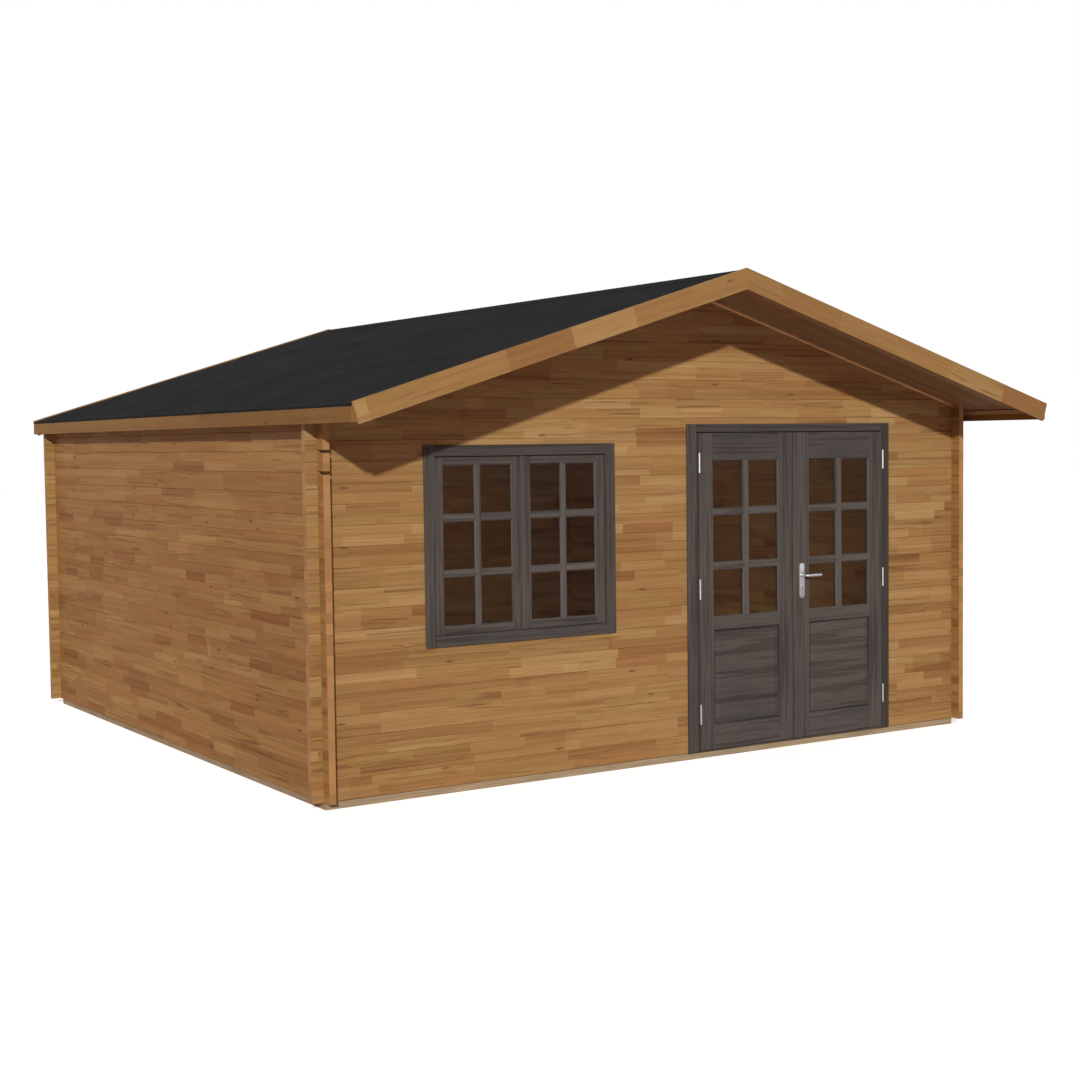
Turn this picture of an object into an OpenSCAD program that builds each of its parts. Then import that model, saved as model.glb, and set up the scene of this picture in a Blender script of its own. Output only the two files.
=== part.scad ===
// Log cabin with interlocking wall logs, a low gable roof with a deep front overhang,
// a two-leaf glazed door and a two-casement window.
// Millimetres, Z up, the front looks to -Y. The origin is on the ground under the
// middle of the roof's outline.

/* [Walls] */
// Width over the side walls' outer faces
wall_w = 4750; // [4400:10:5200]
// Depth over the front and back walls' outer faces
wall_d = 4730; // [4000:10:5600]
// Thickness of a wall log
log_t = 40; // [34:1:50]
// Height of one course of logs
log_h = 114; // [112:1:116]
// How far each log runs past the corner
end_out = 70; // [50:2:70]
// Depth of the V groove at each course joint
groove = 2.5; // [1:0.5:6]
// Height of the pressure treated beams under the walls
beam_h = 46; // [40:1:60]
// Width of those beams
beam_w = 60; // [50:5:70]
// How far the beams stand back from the logs' outer faces
beam_inset = 18; // [10:1:22]

/* [Roof] */
// Slope of both roof sides, in degrees
pitch = 17; // [16:0.5:18]
// Height of the bargeboards' top edge at the ridge
ridge_top = 2935; // [2920:5:3000]
// Overhang in front of the front wall
over_front = 682; // [400:10:900]
// Overhang behind the back wall
over_back = 90; // [90:2:300]
// Overhang past each side wall
over_side = 120; // [100:5:200]
// Thickness of the roof boards
deck_t = 28; // [18:1:30]
// Thickness of the roofing felt
felt_t = 4; // [3:0.5:6]
// Width of a bargeboard, square to the slope
barge_w = 117; // [100:1:140]
// Thickness of bargeboards and eave boards
board_t = 18; // [14:1:20]
// Height of an eave board
eave_h = 92; // [70:1:110]

/* [Window] */
// Middle of the window, from the middle of the front wall
window_x = -1100; // [-1200:10:-1000]
// Width over the window frame
window_w = 1280; // [1200:10:1300]
// Height over the window frame
window_h = 1122; // [900:2:1130]
// Height of the frame's bottom edge
window_z = 829; // [800:1:900]

/* [Door] */
// Middle of the door frame, from the middle of the front wall
door_x = 909; // [850:1:950]
// Height of the door frame's top edge
door_top = 2060; // [2000:5:2080]
// Width of the leaf without a handle
left_leaf_w = 744; // [700:1:760]
// Width of the leaf with the handle
right_leaf_w = 760; // [720:1:780]
// Thickness of both leaves
leaf_t = 40; // [36:1:44]
// How far the closed leaves stand out from the logs
leaf_proud = 26; // [24:1:30]

/* [Hidden] */
$fn = 32;
fit = 0.5;                                  // play round a log's neck in a corner
half_w = wall_w / 2;
y_front = -(wall_d + over_back - over_front) / 2;
y_back = y_front + wall_d;
y_mid = (y_front + y_back) / 2;
roof_front = y_front - over_front;
roof_back = y_back + over_back;
roof_x = half_w + over_side;
slope = tan(pitch);
steep = 1 / cos(pitch);                     // turns a thickness into a height on the slope
barge_proud = 6;                            // bargeboards stand this far above the felt
roof_play = 0.1;                            // between the roof's layers and under its boards
felt_lip = 12;                              // turned down over the eave boards
notch = log_h / 4;                          // cut from a log's top and bottom at a corner
joint_gap = 18;                             // height of an open joint in the log ends
last_full = 18;                             // the gables start above this many courses
gable_z = beam_h + last_full * log_h;
frame_lap = 20;                             // how far a frame laps over the logs
flange_t = 12;                              // thickness of that lap
gap = 5;                                    // clearance round a door leaf
leaf_gap = 7;                               // clearance between the two leaves
jamb_face = 74;                             // visible width of a door jamb
head_face = 50;
stop_in = 21;                               // how far a door stop reaches behind a leaf
door_w = left_leaf_w + right_leaf_w + leaf_gap + 2 * (gap + jamb_face);
door_left = door_x - door_w / 2;
door_right = door_x + door_w / 2;
left_leaf_x = door_left + jamb_face + gap;
right_leaf_x = left_leaf_x + left_leaf_w + leaf_gap;
leaf_z = beam_h + 13;
leaf_h = door_top - head_face - gap - leaf_z;
stile = 108;
lock_stile = 131;
bottom_rail = 147;
panel_h = 591;
middle_rail = 75;
top_rail = 167;
door_bar = 37;
window_bar = 32;
glass_t = 4;
window_side = 65;                           // visible width of the window frame's sides
window_rail = 62;                           // and of its top and bottom
casement_gap = 2;
casement_t = 28;
casement_y = 6;
casement_stile = 59;
casement_rail = 44;
window_left = window_x - window_w / 2;
hinge_r = 6.5;
hinge_len = 122;
hinge_off = 7;                              // hinge pin's distance in front of the leaf
hinge_side = 2.5;                           // and beside its edge
hinge_z = [282, 1051, 1824];
pin_r = 3;
pin_play = 0.06;
handle_x = right_leaf_x + lock_stile / 2;
handle_z = 1097;
plate_w = 42;
plate_h = 224;
plate_z = 951;
plate_t = 7;
lever_r = 8;
lever_len = 125;
lever_off = 45;                             // from the plate's face to the lever's middle
neck_play = 0.1;
cylinder_drop = 72;                         // lock cylinder's distance under the spindle

log_color = "#A97C4E";
roof_wood_color = "#B3855A";
stain_color = "#544C46";
beam_color = "#A8967A";
felt_color = "#3A3A3A";
metal_color = "#B9B9B5";
glass_color = [0.55, 0.62, 0.62, 0.35];
floor_color = "#B08C60";

// Heights of the roof's layers at a distance x from the ridge
function barge_z(x) = ridge_top - abs(x) * slope;
function felt_z(x) = barge_z(x) - barge_proud * steep;
function deck_z(x) = felt_z(x) - felt_t * steep;
function under_z(x) = deck_z(x) - deck_t * steep;
function seat_z(x) = under_z(x) - roof_play;    // top of what carries the roof boards

// Runs a drawing of X and Z from y0 to y1
module along_y(y0, y1) {
    translate([0, y1, 0]) rotate([90, 0, 0]) linear_extrude(y1 - y0) children();
}

// Runs a drawing of Y and Z from x0 to x1
module along_x(x0, x1) {
    translate([x0, 0, 0]) rotate([90, 0, 90]) linear_extrude(x1 - x0) children();
}

// Cross-section of stacked logs: outer face at 0, a V groove on both faces at every joint.
// Joints lie log_h apart, the first one at joint_0.
module course_section(z0, z1, joint_0, inner_rise = 0) {
    joints = [for (z = [joint_0 : log_h : z1 - groove]) if (z > z0 + groove) z];
    foot = abs((z0 - joint_0) / log_h - round((z0 - joint_0) / log_h)) < 0.001 ? groove : 0;
    crown = abs((z1 - joint_0) / log_h - round((z1 - joint_0) / log_h)) < 0.001 ? groove : 0;
    outer = [for (z = joints) each [[0, z - groove], [groove, z], [0, z + groove]]];
    inner = [
        for (i = [len(joints) - 1 : -1 : 0])
            each [[log_t, joints[i] + groove], [log_t - groove, joints[i]],
                  [log_t, joints[i] - groove]]
    ];
    polygon(concat(
        [[foot, z0], [0, z0 + foot]], outer,
        [[0, z1 - crown], [crown, z1], [log_t - crown, z1 + inner_rise],
         [log_t, z1 - crown + inner_rise]],
        inner,
        [[log_t, z0 + foot], [log_t - foot, z0]]
    ));
}

// Mirrors a shape on the front wall onto the back wall
module at_back() {
    translate([0, 2 * y_mid, 0]) mirror([0, 1, 0]) children();
}

module both_sides() {
    children();
    mirror([1, 0, 0]) children();
}

// A stretch of front wall; the logs' necks of the side walls pass through its corners
module front_courses(x0, x1, z0, z1) {
    difference() {
        along_x(x0, x1) translate([y_front, 0]) course_section(z0, z1, beam_h);
        both_sides()
            for (m = [0 : last_full])
                translate([-half_w - fit, y_front - 1, beam_h + m * log_h - notch - fit])
                    cube([log_t + 2 * fit, log_t + 2, 2 * (notch + fit)]);
    }
}

module gable() {
    intersection() {
        front_courses(-half_w - end_out, half_w + end_out, gable_z, seat_z(0));
        along_y(y_front - 1, y_front + log_t + 1)
            polygon([
                [-roof_x, gable_z], [roof_x, gable_z], [roof_x, seat_z(roof_x)],
                [0, seat_z(0)], [-roof_x, seat_z(roof_x)]
            ]);
    }
}

// The side courses lie half a log lower than the front ones, so that the corners lock
module side_wall(open_joints) {
    difference() {
        along_y(y_front - end_out, y_back + end_out)
            translate([-half_w, 0])
                course_section(beam_h, seat_z(half_w), beam_h - log_h / 2, log_t * slope);
        for (wall_y = [y_front, y_back - log_t], n = [0 : last_full])
            translate([-half_w - 1, wall_y - fit, beam_h + n * log_h + notch - fit])
                cube([log_t + 2, log_t + 2 * fit,
                      n == last_full ? log_h : log_h - 2 * notch + 2 * fit]);
        // the highest full joints of the front log ends are left open
        for (m = [1 : 1 : open_joints])
            translate([-half_w - 1, y_front - end_out - 1,
                       beam_h + (last_full - m - 0.5) * log_h - joint_gap / 2])
                cube([log_t + 2, end_out + 1 - fit, joint_gap]);
    }
}

module foundation_front_and_back() {
    color(beam_color)
        for (y = [y_front + beam_inset, y_back - beam_inset - beam_w])
            translate([beam_inset - half_w, y, 0])
                cube([wall_w - 2 * beam_inset, beam_w, beam_h]);
}

module foundation_sides() {
    color(beam_color) both_sides()
        translate([beam_inset - half_w, y_front + beam_inset + beam_w, 0])
            cube([beam_w, wall_d - 2 * (beam_inset + beam_w), beam_h]);
}

module floor_joists() {
    bay = (half_w - beam_inset - beam_w) / 3;
    color(beam_color)
        for (i = [-2 : 2])
            translate([i * bay - beam_w / 2, y_front + beam_inset + beam_w, 0])
                cube([beam_w, wall_d - 2 * (beam_inset + beam_w), beam_h]);
}

module floor_boards() {
    edge = log_t + 5;
    door_edge = log_t + flange_t + 3;
    color(floor_color)
        translate([edge - half_w, y_front + door_edge, beam_h])
            cube([wall_w - 2 * edge, wall_d - edge - door_edge, 18]);
}

module front_wall_left() {
    color(log_color)
        front_courses(-half_w - end_out, window_left + frame_lap, beam_h, gable_z);
}

module front_wall_under_window() {
    color(log_color)
        front_courses(window_left + frame_lap, window_left + window_w - frame_lap,
                      beam_h, window_z + frame_lap);
}

module front_wall_over_openings() {
    color(log_color) {
        front_courses(window_left + frame_lap, window_left + window_w - frame_lap,
                      window_z + window_h - frame_lap, gable_z);
        front_courses(door_left + frame_lap, door_right - frame_lap,
                      door_top - frame_lap, gable_z);
    }
}

module front_wall_middle() {
    color(log_color)
        front_courses(window_left + window_w - frame_lap, door_left + frame_lap,
                      beam_h, gable_z);
}

module front_wall_right() {
    color(log_color)
        front_courses(door_right - frame_lap, half_w + end_out, beam_h, gable_z);
}

module front_gable() { color(log_color) gable(); }

module left_wall() { color(log_color) side_wall(open_joints = 2); }

module right_wall() { color(log_color) mirror([1, 0, 0]) side_wall(open_joints = 0); }

module back_wall() {
    color(log_color) at_back()
        front_courses(-half_w - end_out, half_w + end_out, beam_h, gable_z);
}

module back_gable() { color(log_color) at_back() gable(); }

// A ridge purlin and one half way down each side, from gable to gable
module purlins() {
    purlin_w = 45;
    purlin_h = 145;
    color(roof_wood_color)
        for (i = [-1 : 1]) {
            x = i * half_w * 0.53;
            translate([x - purlin_w / 2, y_front + log_t,
                       seat_z(abs(x) + purlin_w / 2) - purlin_h])
                cube([purlin_w, wall_d - 2 * log_t, purlin_h]);
        }
}

module roof_deck() {
    deck_x = roof_x - board_t;
    along_y(roof_front + board_t, roof_back - board_t)
        polygon([[0, under_z(0)], [deck_x, under_z(deck_x)], [deck_x, deck_z(deck_x)],
                 [0, deck_z(0)]]);
}

module roof_boards_left() { color(roof_wood_color) mirror([1, 0, 0]) roof_deck(); }

module roof_boards_right() { color(roof_wood_color) roof_deck(); }

// Each sheet's edge is turned down over the eave board
module felt() {
    fold = roof_x - felt_t;
    along_y(roof_front + board_t, roof_back - board_t)
        polygon([[0, deck_z(0) + roof_play], [fold, deck_z(fold) + roof_play],
                 [fold, deck_z(roof_x) - felt_lip], [roof_x, deck_z(roof_x) - felt_lip],
                 [roof_x, felt_z(roof_x)], [0, felt_z(0)]]);
}

module roof_felt_left() { color(felt_color) mirror([1, 0, 0]) felt(); }

module roof_felt_right() { color(felt_color) felt(); }

// Mitred at the ridge, cut square at the eave
module bargeboard(y0) {
    foot_in = barge_w * sin(pitch);
    foot_down = barge_w * cos(pitch);
    along_y(y0, y0 + board_t)
        polygon([
            [0, ridge_top - barge_w * steep],
            [roof_x - foot_in, barge_z(roof_x) - foot_down],
            [roof_x, barge_z(roof_x)],
            [0, ridge_top]
        ]);
}

module front_bargeboard_left() {
    color(roof_wood_color) mirror([1, 0, 0]) bargeboard(roof_front);
}

module front_bargeboard_right() { color(roof_wood_color) bargeboard(roof_front); }

module rear_bargeboard_left() {
    color(roof_wood_color) mirror([1, 0, 0]) bargeboard(roof_back - board_t);
}

module rear_bargeboard_right() { color(roof_wood_color) bargeboard(roof_back - board_t); }

// Rebated along the top for the felt's edge
module eave_boards() {
    inner = roof_x - board_t;
    rebate = roof_x - felt_t - roof_play;
    color(roof_wood_color) both_sides()
        along_y(roof_front + board_t, roof_back - board_t)
            polygon([
                [inner, deck_z(roof_x) - eave_h], [roof_x, deck_z(roof_x) - eave_h],
                [roof_x, deck_z(roof_x) - felt_lip - roof_play],
                [rebate, deck_z(roof_x) - felt_lip - roof_play],
                [rebate, deck_z(rebate)], [inner, deck_z(inner)]
            ]);
}

// A bead along the joint between a gable and the roof boards
module soffit_trim() {
    trim_t = 12;
    trim_h = 11 * steep;
    end = half_w - log_t - fit;
    color(roof_wood_color)
        along_y(y_front - trim_t, y_front)
            polygon([
                [-end, seat_z(end) - trim_h], [0, seat_z(0) - trim_h],
                [end, seat_z(end) - trim_h], [end, seat_z(end)],
                [0, seat_z(0)], [-end, seat_z(end)]
            ]);
}

module front_soffit_trim() { soffit_trim(); }

module rear_soffit_trim() { at_back() soffit_trim(); }

// Bars of one pane grid, two across and three high, in front of and behind the glass
module glazing_bars(w, h, bar, depth) {
    bar_t = (depth - glass_t) / 2 - 4;
    pane_h = (h - 2 * bar) / 3;
    for (y = [4, depth / 2 + glass_t / 2]) {
        translate([w / 2 - bar / 2, y, -1]) cube([bar, bar_t, h + 2]);
        for (i = [1 : 2])
            translate([-1, y, i * pane_h + (i - 1) * bar]) cube([w + 2, bar_t, bar]);
    }
}

module window_frame() {
    stop = 15;
    stop_y = casement_y + casement_t;
    color(stain_color) translate([window_left, y_front, window_z])
        difference() {
            union() {
                for (y = [-flange_t, log_t])
                    translate([0, y, 0]) cube([window_w, flange_t, window_h]);
                translate([frame_lap, -1, frame_lap])
                    cube([window_w - 2 * frame_lap, log_t + 2, window_h - 2 * frame_lap]);
            }
            translate([window_side, -flange_t - 1, window_rail])
                cube([window_w - 2 * window_side, stop_y + flange_t + 1,
                      window_h - 2 * window_rail]);
            translate([window_side + stop, 0, window_rail + stop])
                cube([window_w - 2 * (window_side + stop), log_t + flange_t + 1,
                      window_h - 2 * (window_rail + stop)]);
        }
}

casement_w = (window_w - 2 * window_side - 3 * casement_gap) / 2;
casement_h = window_h - 2 * (window_rail + casement_gap);
pane_w = casement_w - 2 * casement_stile;
pane_area_h = casement_h - 2 * casement_rail;

module at_casement(i) {
    translate([
        window_left + window_side + casement_gap + i * (casement_w + casement_gap),
        y_front + casement_y,
        window_z + window_rail + casement_gap
    ]) children();
}

module casement() {
    difference() {
        cube([casement_w, casement_t, casement_h]);
        translate([casement_stile, -1, casement_rail])
            cube([pane_w, casement_t + 2, pane_area_h]);
    }
    translate([casement_stile, 0, casement_rail])
        glazing_bars(pane_w, pane_area_h, window_bar, casement_t);
}

module window_casement_left() { color(stain_color) at_casement(0) casement(); }

// The right casement carries the cover strip of the middle joint
module window_casement_right() {
    strip_w = 30;
    strip_t = 8;
    color(stain_color) at_casement(1) {
        casement();
        translate([-strip_w / 3, -strip_t, 0]) cube([strip_w, strip_t, casement_h]);
    }
}

module window_glass() {
    color(glass_color)
        for (i = [0 : 1])
            at_casement(i)
                translate([casement_stile, casement_t / 2 - glass_t / 2, casement_rail])
                    cube([pane_w, glass_t, pane_area_h]);
}

// The frame wraps the logs' ends; its stop lies behind the leaf
stop_y = leaf_t - leaf_proud + gap;
frame_y = log_t + flange_t;
sill_z = leaf_z - gap;
sill_stop_z = sill_z + 18;
head_z = door_top - head_face;
head_stop_z = head_z - stop_in;

module jamb() {
    difference() {
        translate([door_left, y_front, beam_h])
            linear_extrude(door_top - beam_h)
                polygon([
                    [0, -flange_t], [jamb_face, -flange_t], [jamb_face, stop_y],
                    [jamb_face + stop_in, stop_y], [jamb_face + stop_in, frame_y],
                    [0, frame_y], [0, log_t], [frame_lap, log_t], [frame_lap, 0], [0, 0]
                ]);
        translate([door_left - 1, y_front, door_top - frame_lap])
            cube([jamb_face + stop_in + 2, log_t, frame_lap + 1]);
        translate([door_left + jamb_face, y_front, head_stop_z])
            cube([stop_in + 1, frame_y + 1, door_top]);
        translate([door_left + jamb_face, y_front, 0])
            cube([stop_in + 1, frame_y + 1, sill_stop_z]);
    }
}

module door_jambs() {
    color(stain_color) {
        jamb();
        translate([2 * door_x, 0, 0]) mirror([1, 0, 0]) jamb();
    }
}

module door_head() {
    color(stain_color)
        along_x(door_left + jamb_face, door_right - jamb_face)
            translate([y_front, 0])
                polygon([
                    [-flange_t, head_z], [-flange_t, door_top], [0, door_top],
                    [0, door_top - frame_lap], [log_t, door_top - frame_lap],
                    [log_t, door_top], [frame_y, door_top], [frame_y, head_stop_z],
                    [stop_y, head_stop_z], [stop_y, head_z]
                ]);
}

module door_threshold() {
    color(stain_color)
        along_x(door_left + jamb_face, door_right - jamb_face)
            translate([y_front, 0])
                polygon([
                    [-flange_t, beam_h], [-flange_t, sill_z], [stop_y, sill_z],
                    [stop_y, sill_stop_z], [frame_y, sill_stop_z], [frame_y, beam_h]
                ]);
}

glass_z = bottom_rail + panel_h + middle_rail;
glass_h = leaf_h - glass_z - top_rail;

module at_leaf(x) {
    translate([x, y_front - leaf_proud, leaf_z]) children();
}

module leaf(w, left_stile, right_stile) {
    open_w = w - left_stile - right_stile;
    difference() {
        cube([w, leaf_t, leaf_h]);
        translate([left_stile, -1, bottom_rail]) cube([open_w, leaf_t + 2, panel_h]);
        translate([left_stile, -1, glass_z]) cube([open_w, leaf_t + 2, glass_h]);
    }
    translate([left_stile, 0, glass_z]) glazing_bars(open_w, glass_h, door_bar, leaf_t);
}

// A panel with a raised field on both faces
module raised_panel(w) {
    panel_t = 16;
    field_t = 6;
    inset = 40;
    y = (leaf_t - panel_t) / 2;
    translate([0, y, bottom_rail]) cube([w, panel_t, panel_h]);
    translate([inset, y - field_t, bottom_rail + inset])
        cube([w - 2 * inset, panel_t + 2 * field_t, panel_h - 2 * inset]);
}

module leaf_glass(w) {
    translate([0, leaf_t / 2 - glass_t / 2, glass_z]) cube([w, glass_t, glass_h]);
}

// Lower half of a drill-in hinge, with the pin, and its two studs into the frame.
// The hinge line is the origin; the door leaf lies to +X.
module hinge_frame_half() {
    stud_r = 2.5;
    translate([0, 0, -hinge_len / 2]) cylinder(r = hinge_r, h = hinge_len / 2 - 0.5);
    translate([0, 0, -1]) cylinder(r = pin_r, h = 41);
    for (z = [-45, -15])
        translate([stud_r - hinge_r, 0, z]) rotate([-90, 0, 0])
            cylinder(r = stud_r, h = hinge_off + leaf_proud - flange_t);
}

module hinge_leaf_half() {
    stud_r = 2.5;
    difference() {
        union() {
            translate([0, 0, 0.5]) cylinder(r = hinge_r, h = hinge_len / 2 - 0.5);
            for (z = [45, 52])
                translate([hinge_r - stud_r, 0, z]) rotate([-90, 0, 0])
                    cylinder(r = stud_r, h = hinge_off);
        }
        cylinder(r = pin_r + pin_play, h = 42);
    }
}

left_hinge_x = left_leaf_x - hinge_side;
right_hinge_x = right_leaf_x + right_leaf_w + hinge_side;
hinge_y = y_front - leaf_proud - hinge_off;

module at_left_hinges() {
    for (z = hinge_z) translate([left_hinge_x, hinge_y, z]) children();
}

module at_right_hinges() {
    for (z = hinge_z) translate([right_hinge_x, hinge_y, z]) mirror([1, 0, 0]) children();
}

module door_hinge_frame_halves() {
    color(metal_color) {
        at_left_hinges() hinge_frame_half();
        at_right_hinges() hinge_frame_half();
    }
}

module left_door_hinge_halves() { color(metal_color) at_left_hinges() hinge_leaf_half(); }

module right_door_hinge_halves() { color(metal_color) at_right_hinges() hinge_leaf_half(); }

module left_door_leaf() {
    color(stain_color) at_leaf(left_leaf_x) leaf(left_leaf_w, stile, stile);
}

module left_door_panel() {
    color(stain_color) at_leaf(left_leaf_x + stile) raised_panel(left_leaf_w - 2 * stile);
}

module left_door_glass() {
    color(glass_color) at_leaf(left_leaf_x + stile) leaf_glass(left_leaf_w - 2 * stile);
}

right_open_w = right_leaf_w - stile - lock_stile;

module right_door_leaf() {
    color(stain_color) difference() {
        at_leaf(right_leaf_x) leaf(right_leaf_w, lock_stile, stile);
        translate([handle_x, y_front - leaf_proud - 1, handle_z]) rotate([-90, 0, 0])
            cylinder(r = lever_r + 1, h = leaf_t + 2);
    }
}

module right_door_panel() {
    color(stain_color) at_leaf(right_leaf_x + lock_stile) raised_panel(right_open_w);
}

module right_door_glass() {
    color(glass_color) at_leaf(right_leaf_x + lock_stile) leaf_glass(right_open_w);
}

// Plate with round ends and the face of a profile cylinder; its back is at y = 0
module handle_plate() {
    end_r = plate_w / 2;
    face_r = 8.5;
    difference() {
        union() {
            for (z = [plate_z + end_r, plate_z + plate_h - end_r])
                translate([0, 0, z]) rotate([90, 0, 0]) cylinder(r = end_r, h = plate_t);
            translate([-end_r, -plate_t, plate_z + end_r])
                cube([plate_w, plate_t, plate_h - plate_w]);
            translate([0, 0, handle_z - cylinder_drop]) rotate([90, 0, 0])
                cylinder(r = face_r, h = plate_t + 2);
            translate([-face_r * 0.6, -plate_t - 2, handle_z - cylinder_drop - 24])
                cube([face_r * 1.2, plate_t, 24]);
        }
        translate([0, 1, handle_z]) rotate([90, 0, 0])
            cylinder(r = lever_r + neck_play, h = plate_t + 2);
    }
}

// Places a shape that looks to -Y on both faces of the right leaf
module both_faces() {
    translate([handle_x, y_front - leaf_proud, 0]) children();
    translate([handle_x, y_front - leaf_proud + leaf_t, 0]) mirror([0, 1, 0]) children();
}

module door_handle_plates() { color(metal_color) both_faces() handle_plate(); }

module lever() {
    reach = plate_t + lever_off;
    translate([0, 0, handle_z]) {
        rotate([90, 0, 0]) cylinder(r = lever_r, h = reach);
        translate([0, -reach, 0]) {
            sphere(r = lever_r);
            rotate([0, 90, 0]) cylinder(r = lever_r, h = lever_len - lever_r);
            translate([lever_len - lever_r, 0, 0]) sphere(r = lever_r);
        }
    }
}

module door_handle_levers() {
    spindle_r = 4;
    color(metal_color) {
        both_faces() lever();
        translate([handle_x, y_front - leaf_proud - 1, handle_z]) rotate([-90, 0, 0])
            cylinder(r = spindle_r, h = leaf_t + 2);
    }
}

foundation_front_and_back();
foundation_sides();
floor_joists();
floor_boards();
front_wall_left();
front_wall_under_window();
front_wall_over_openings();
front_wall_middle();
front_wall_right();
front_gable();
left_wall();
right_wall();
back_wall();
back_gable();
purlins();
roof_boards_left();
roof_boards_right();
roof_felt_left();
roof_felt_right();
front_bargeboard_left();
front_bargeboard_right();
rear_bargeboard_left();
rear_bargeboard_right();
eave_boards();
front_soffit_trim();
rear_soffit_trim();
window_frame();
window_casement_left();
window_casement_right();
window_glass();
door_jambs();
door_head();
door_threshold();
door_hinge_frame_halves();
left_door_leaf();
left_door_panel();
left_door_glass();
left_door_hinge_halves();
right_door_leaf();
right_door_panel();
right_door_glass();
right_door_hinge_halves();
door_handle_plates();
door_handle_levers();
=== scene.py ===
# %% [markdown]
# # A garden log cabin
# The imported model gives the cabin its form: interlocking log walls, a low gable roof, a
# glazed double door and a paned window. This lesson gives it its finish: finger-jointed
# wood with its grain, mineral felt, stained joinery with mouldings, and steel fittings.

from math import cos, pi, radians, sin, tan

import bmesh
import bpy
from mathutils import Matrix, Vector


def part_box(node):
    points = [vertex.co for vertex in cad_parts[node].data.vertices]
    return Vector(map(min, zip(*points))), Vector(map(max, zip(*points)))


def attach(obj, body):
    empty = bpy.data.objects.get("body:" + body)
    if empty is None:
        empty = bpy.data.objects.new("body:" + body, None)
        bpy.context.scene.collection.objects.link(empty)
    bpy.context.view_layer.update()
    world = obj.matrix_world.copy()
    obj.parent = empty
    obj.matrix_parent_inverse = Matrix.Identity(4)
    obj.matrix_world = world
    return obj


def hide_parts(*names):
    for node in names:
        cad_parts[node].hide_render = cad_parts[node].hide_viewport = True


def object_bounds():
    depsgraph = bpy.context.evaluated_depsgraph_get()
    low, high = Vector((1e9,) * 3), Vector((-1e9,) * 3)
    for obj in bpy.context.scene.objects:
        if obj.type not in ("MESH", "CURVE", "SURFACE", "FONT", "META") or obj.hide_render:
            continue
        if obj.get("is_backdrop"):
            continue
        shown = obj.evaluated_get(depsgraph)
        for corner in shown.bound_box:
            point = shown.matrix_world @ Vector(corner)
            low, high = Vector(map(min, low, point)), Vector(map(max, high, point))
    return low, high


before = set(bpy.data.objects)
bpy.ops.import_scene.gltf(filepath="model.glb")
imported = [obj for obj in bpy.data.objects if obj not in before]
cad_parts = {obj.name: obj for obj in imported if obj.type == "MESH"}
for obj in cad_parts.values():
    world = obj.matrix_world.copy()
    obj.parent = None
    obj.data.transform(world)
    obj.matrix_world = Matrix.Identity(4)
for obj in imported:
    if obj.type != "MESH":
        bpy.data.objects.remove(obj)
cad_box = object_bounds()

# %% [markdown]
# ## Where things are
# Every place comes from the boxes of the CAD nodes. The roof's slope is the one angle
# that a box can't tell, so it is a value of its own.

# %% Places read from the frame
PITCH = radians(17)
SLOPE = tan(PITCH)
DECK = 0.028
LIP = 0.012


def corners(node):
    low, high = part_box(node)
    return Vector(low), Vector(high)


def new_object(name, data):
    made = bpy.data.objects.new(name, data)
    bpy.context.collection.objects.link(made)
    return made


ridge_z = corners("front_bargeboard_left")[1].z
roof_x = corners("front_bargeboard_right")[1].x
front_y = corners("front_gable")[0].y
back_y = corners("back_gable")[1].y
wall_x = corners("right_wall")[1].x
beam_top = corners("foundation_sides")[1].z
print(f"ridge {ridge_z:.3f} m, eave line {roof_x:.3f} m, front wall at {front_y:.3f} m")

# %% [markdown]
# ## Camera
# The view is from the front left, about two metres up. The camera stands some nine
# metres from the near corner, so that near edges look clearly longer than far ones.

# %% Camera
CAMERA_FROM_CORNER = Vector((-3.828, -8.202, 1.956))
CAMERA_YAW = 0.5668
CAMERA_PITCH = -0.0571
CAMERA_ROLL = -0.0124
LENS_MM = 56.45


def aim(yaw, pitch, roll):
    forward = Vector((sin(yaw) * cos(pitch), cos(yaw) * cos(pitch), sin(pitch)))
    level = Vector((cos(yaw), -sin(yaw), 0))
    upright = level.cross(forward)
    right = level * cos(roll) + upright * sin(roll)
    up = upright * cos(roll) - level * sin(roll)
    return Matrix((right, up, -forward)).transposed()


camera_data = bpy.data.cameras.new("camera")
camera_data.lens = LENS_MM
camera_data.sensor_width = 36
camera = new_object("camera", camera_data)
camera.matrix_world = (
    Matrix.Translation(Vector((-wall_x, front_y, 0)) + CAMERA_FROM_CORNER)
    @ aim(CAMERA_YAW, CAMERA_PITCH, CAMERA_ROLL).to_4x4()
)
bpy.context.scene.camera = camera
bpy.context.scene.view_settings.view_transform = "Standard"
print("camera at", [round(v, 3) for v in camera.location])

# %% [markdown]
# ## Node helpers
# Shader trees are easier to read when one line makes one node. Each helper takes plain
# values or sockets and gives back an output socket.


# %% Node helpers
def plug(tree, socket, value):
    if isinstance(value, bpy.types.NodeSocket):
        tree.links.new(value, socket)
    else:
        socket.default_value = value


def math(tree, operation, *values):
    node = tree.nodes.new("ShaderNodeMath")
    node.operation = operation
    for socket, value in zip(node.inputs, values):
        plug(tree, socket, value)
    return node.outputs[0]


def times(tree, value, factor):
    return math(tree, "MULTIPLY", value, factor)


def vector(tree, x, y, z):
    node = tree.nodes.new("ShaderNodeCombineXYZ")
    for socket, value in zip(node.inputs, (x, y, z)):
        plug(tree, socket, value)
    return node.outputs[0]


def object_place(tree):
    return tree.nodes.new("ShaderNodeTexCoord").outputs["Object"]


def split(tree, value):
    node = tree.nodes.new("ShaderNodeSeparateXYZ")
    plug(tree, node.inputs[0], value)
    return node.outputs


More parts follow.
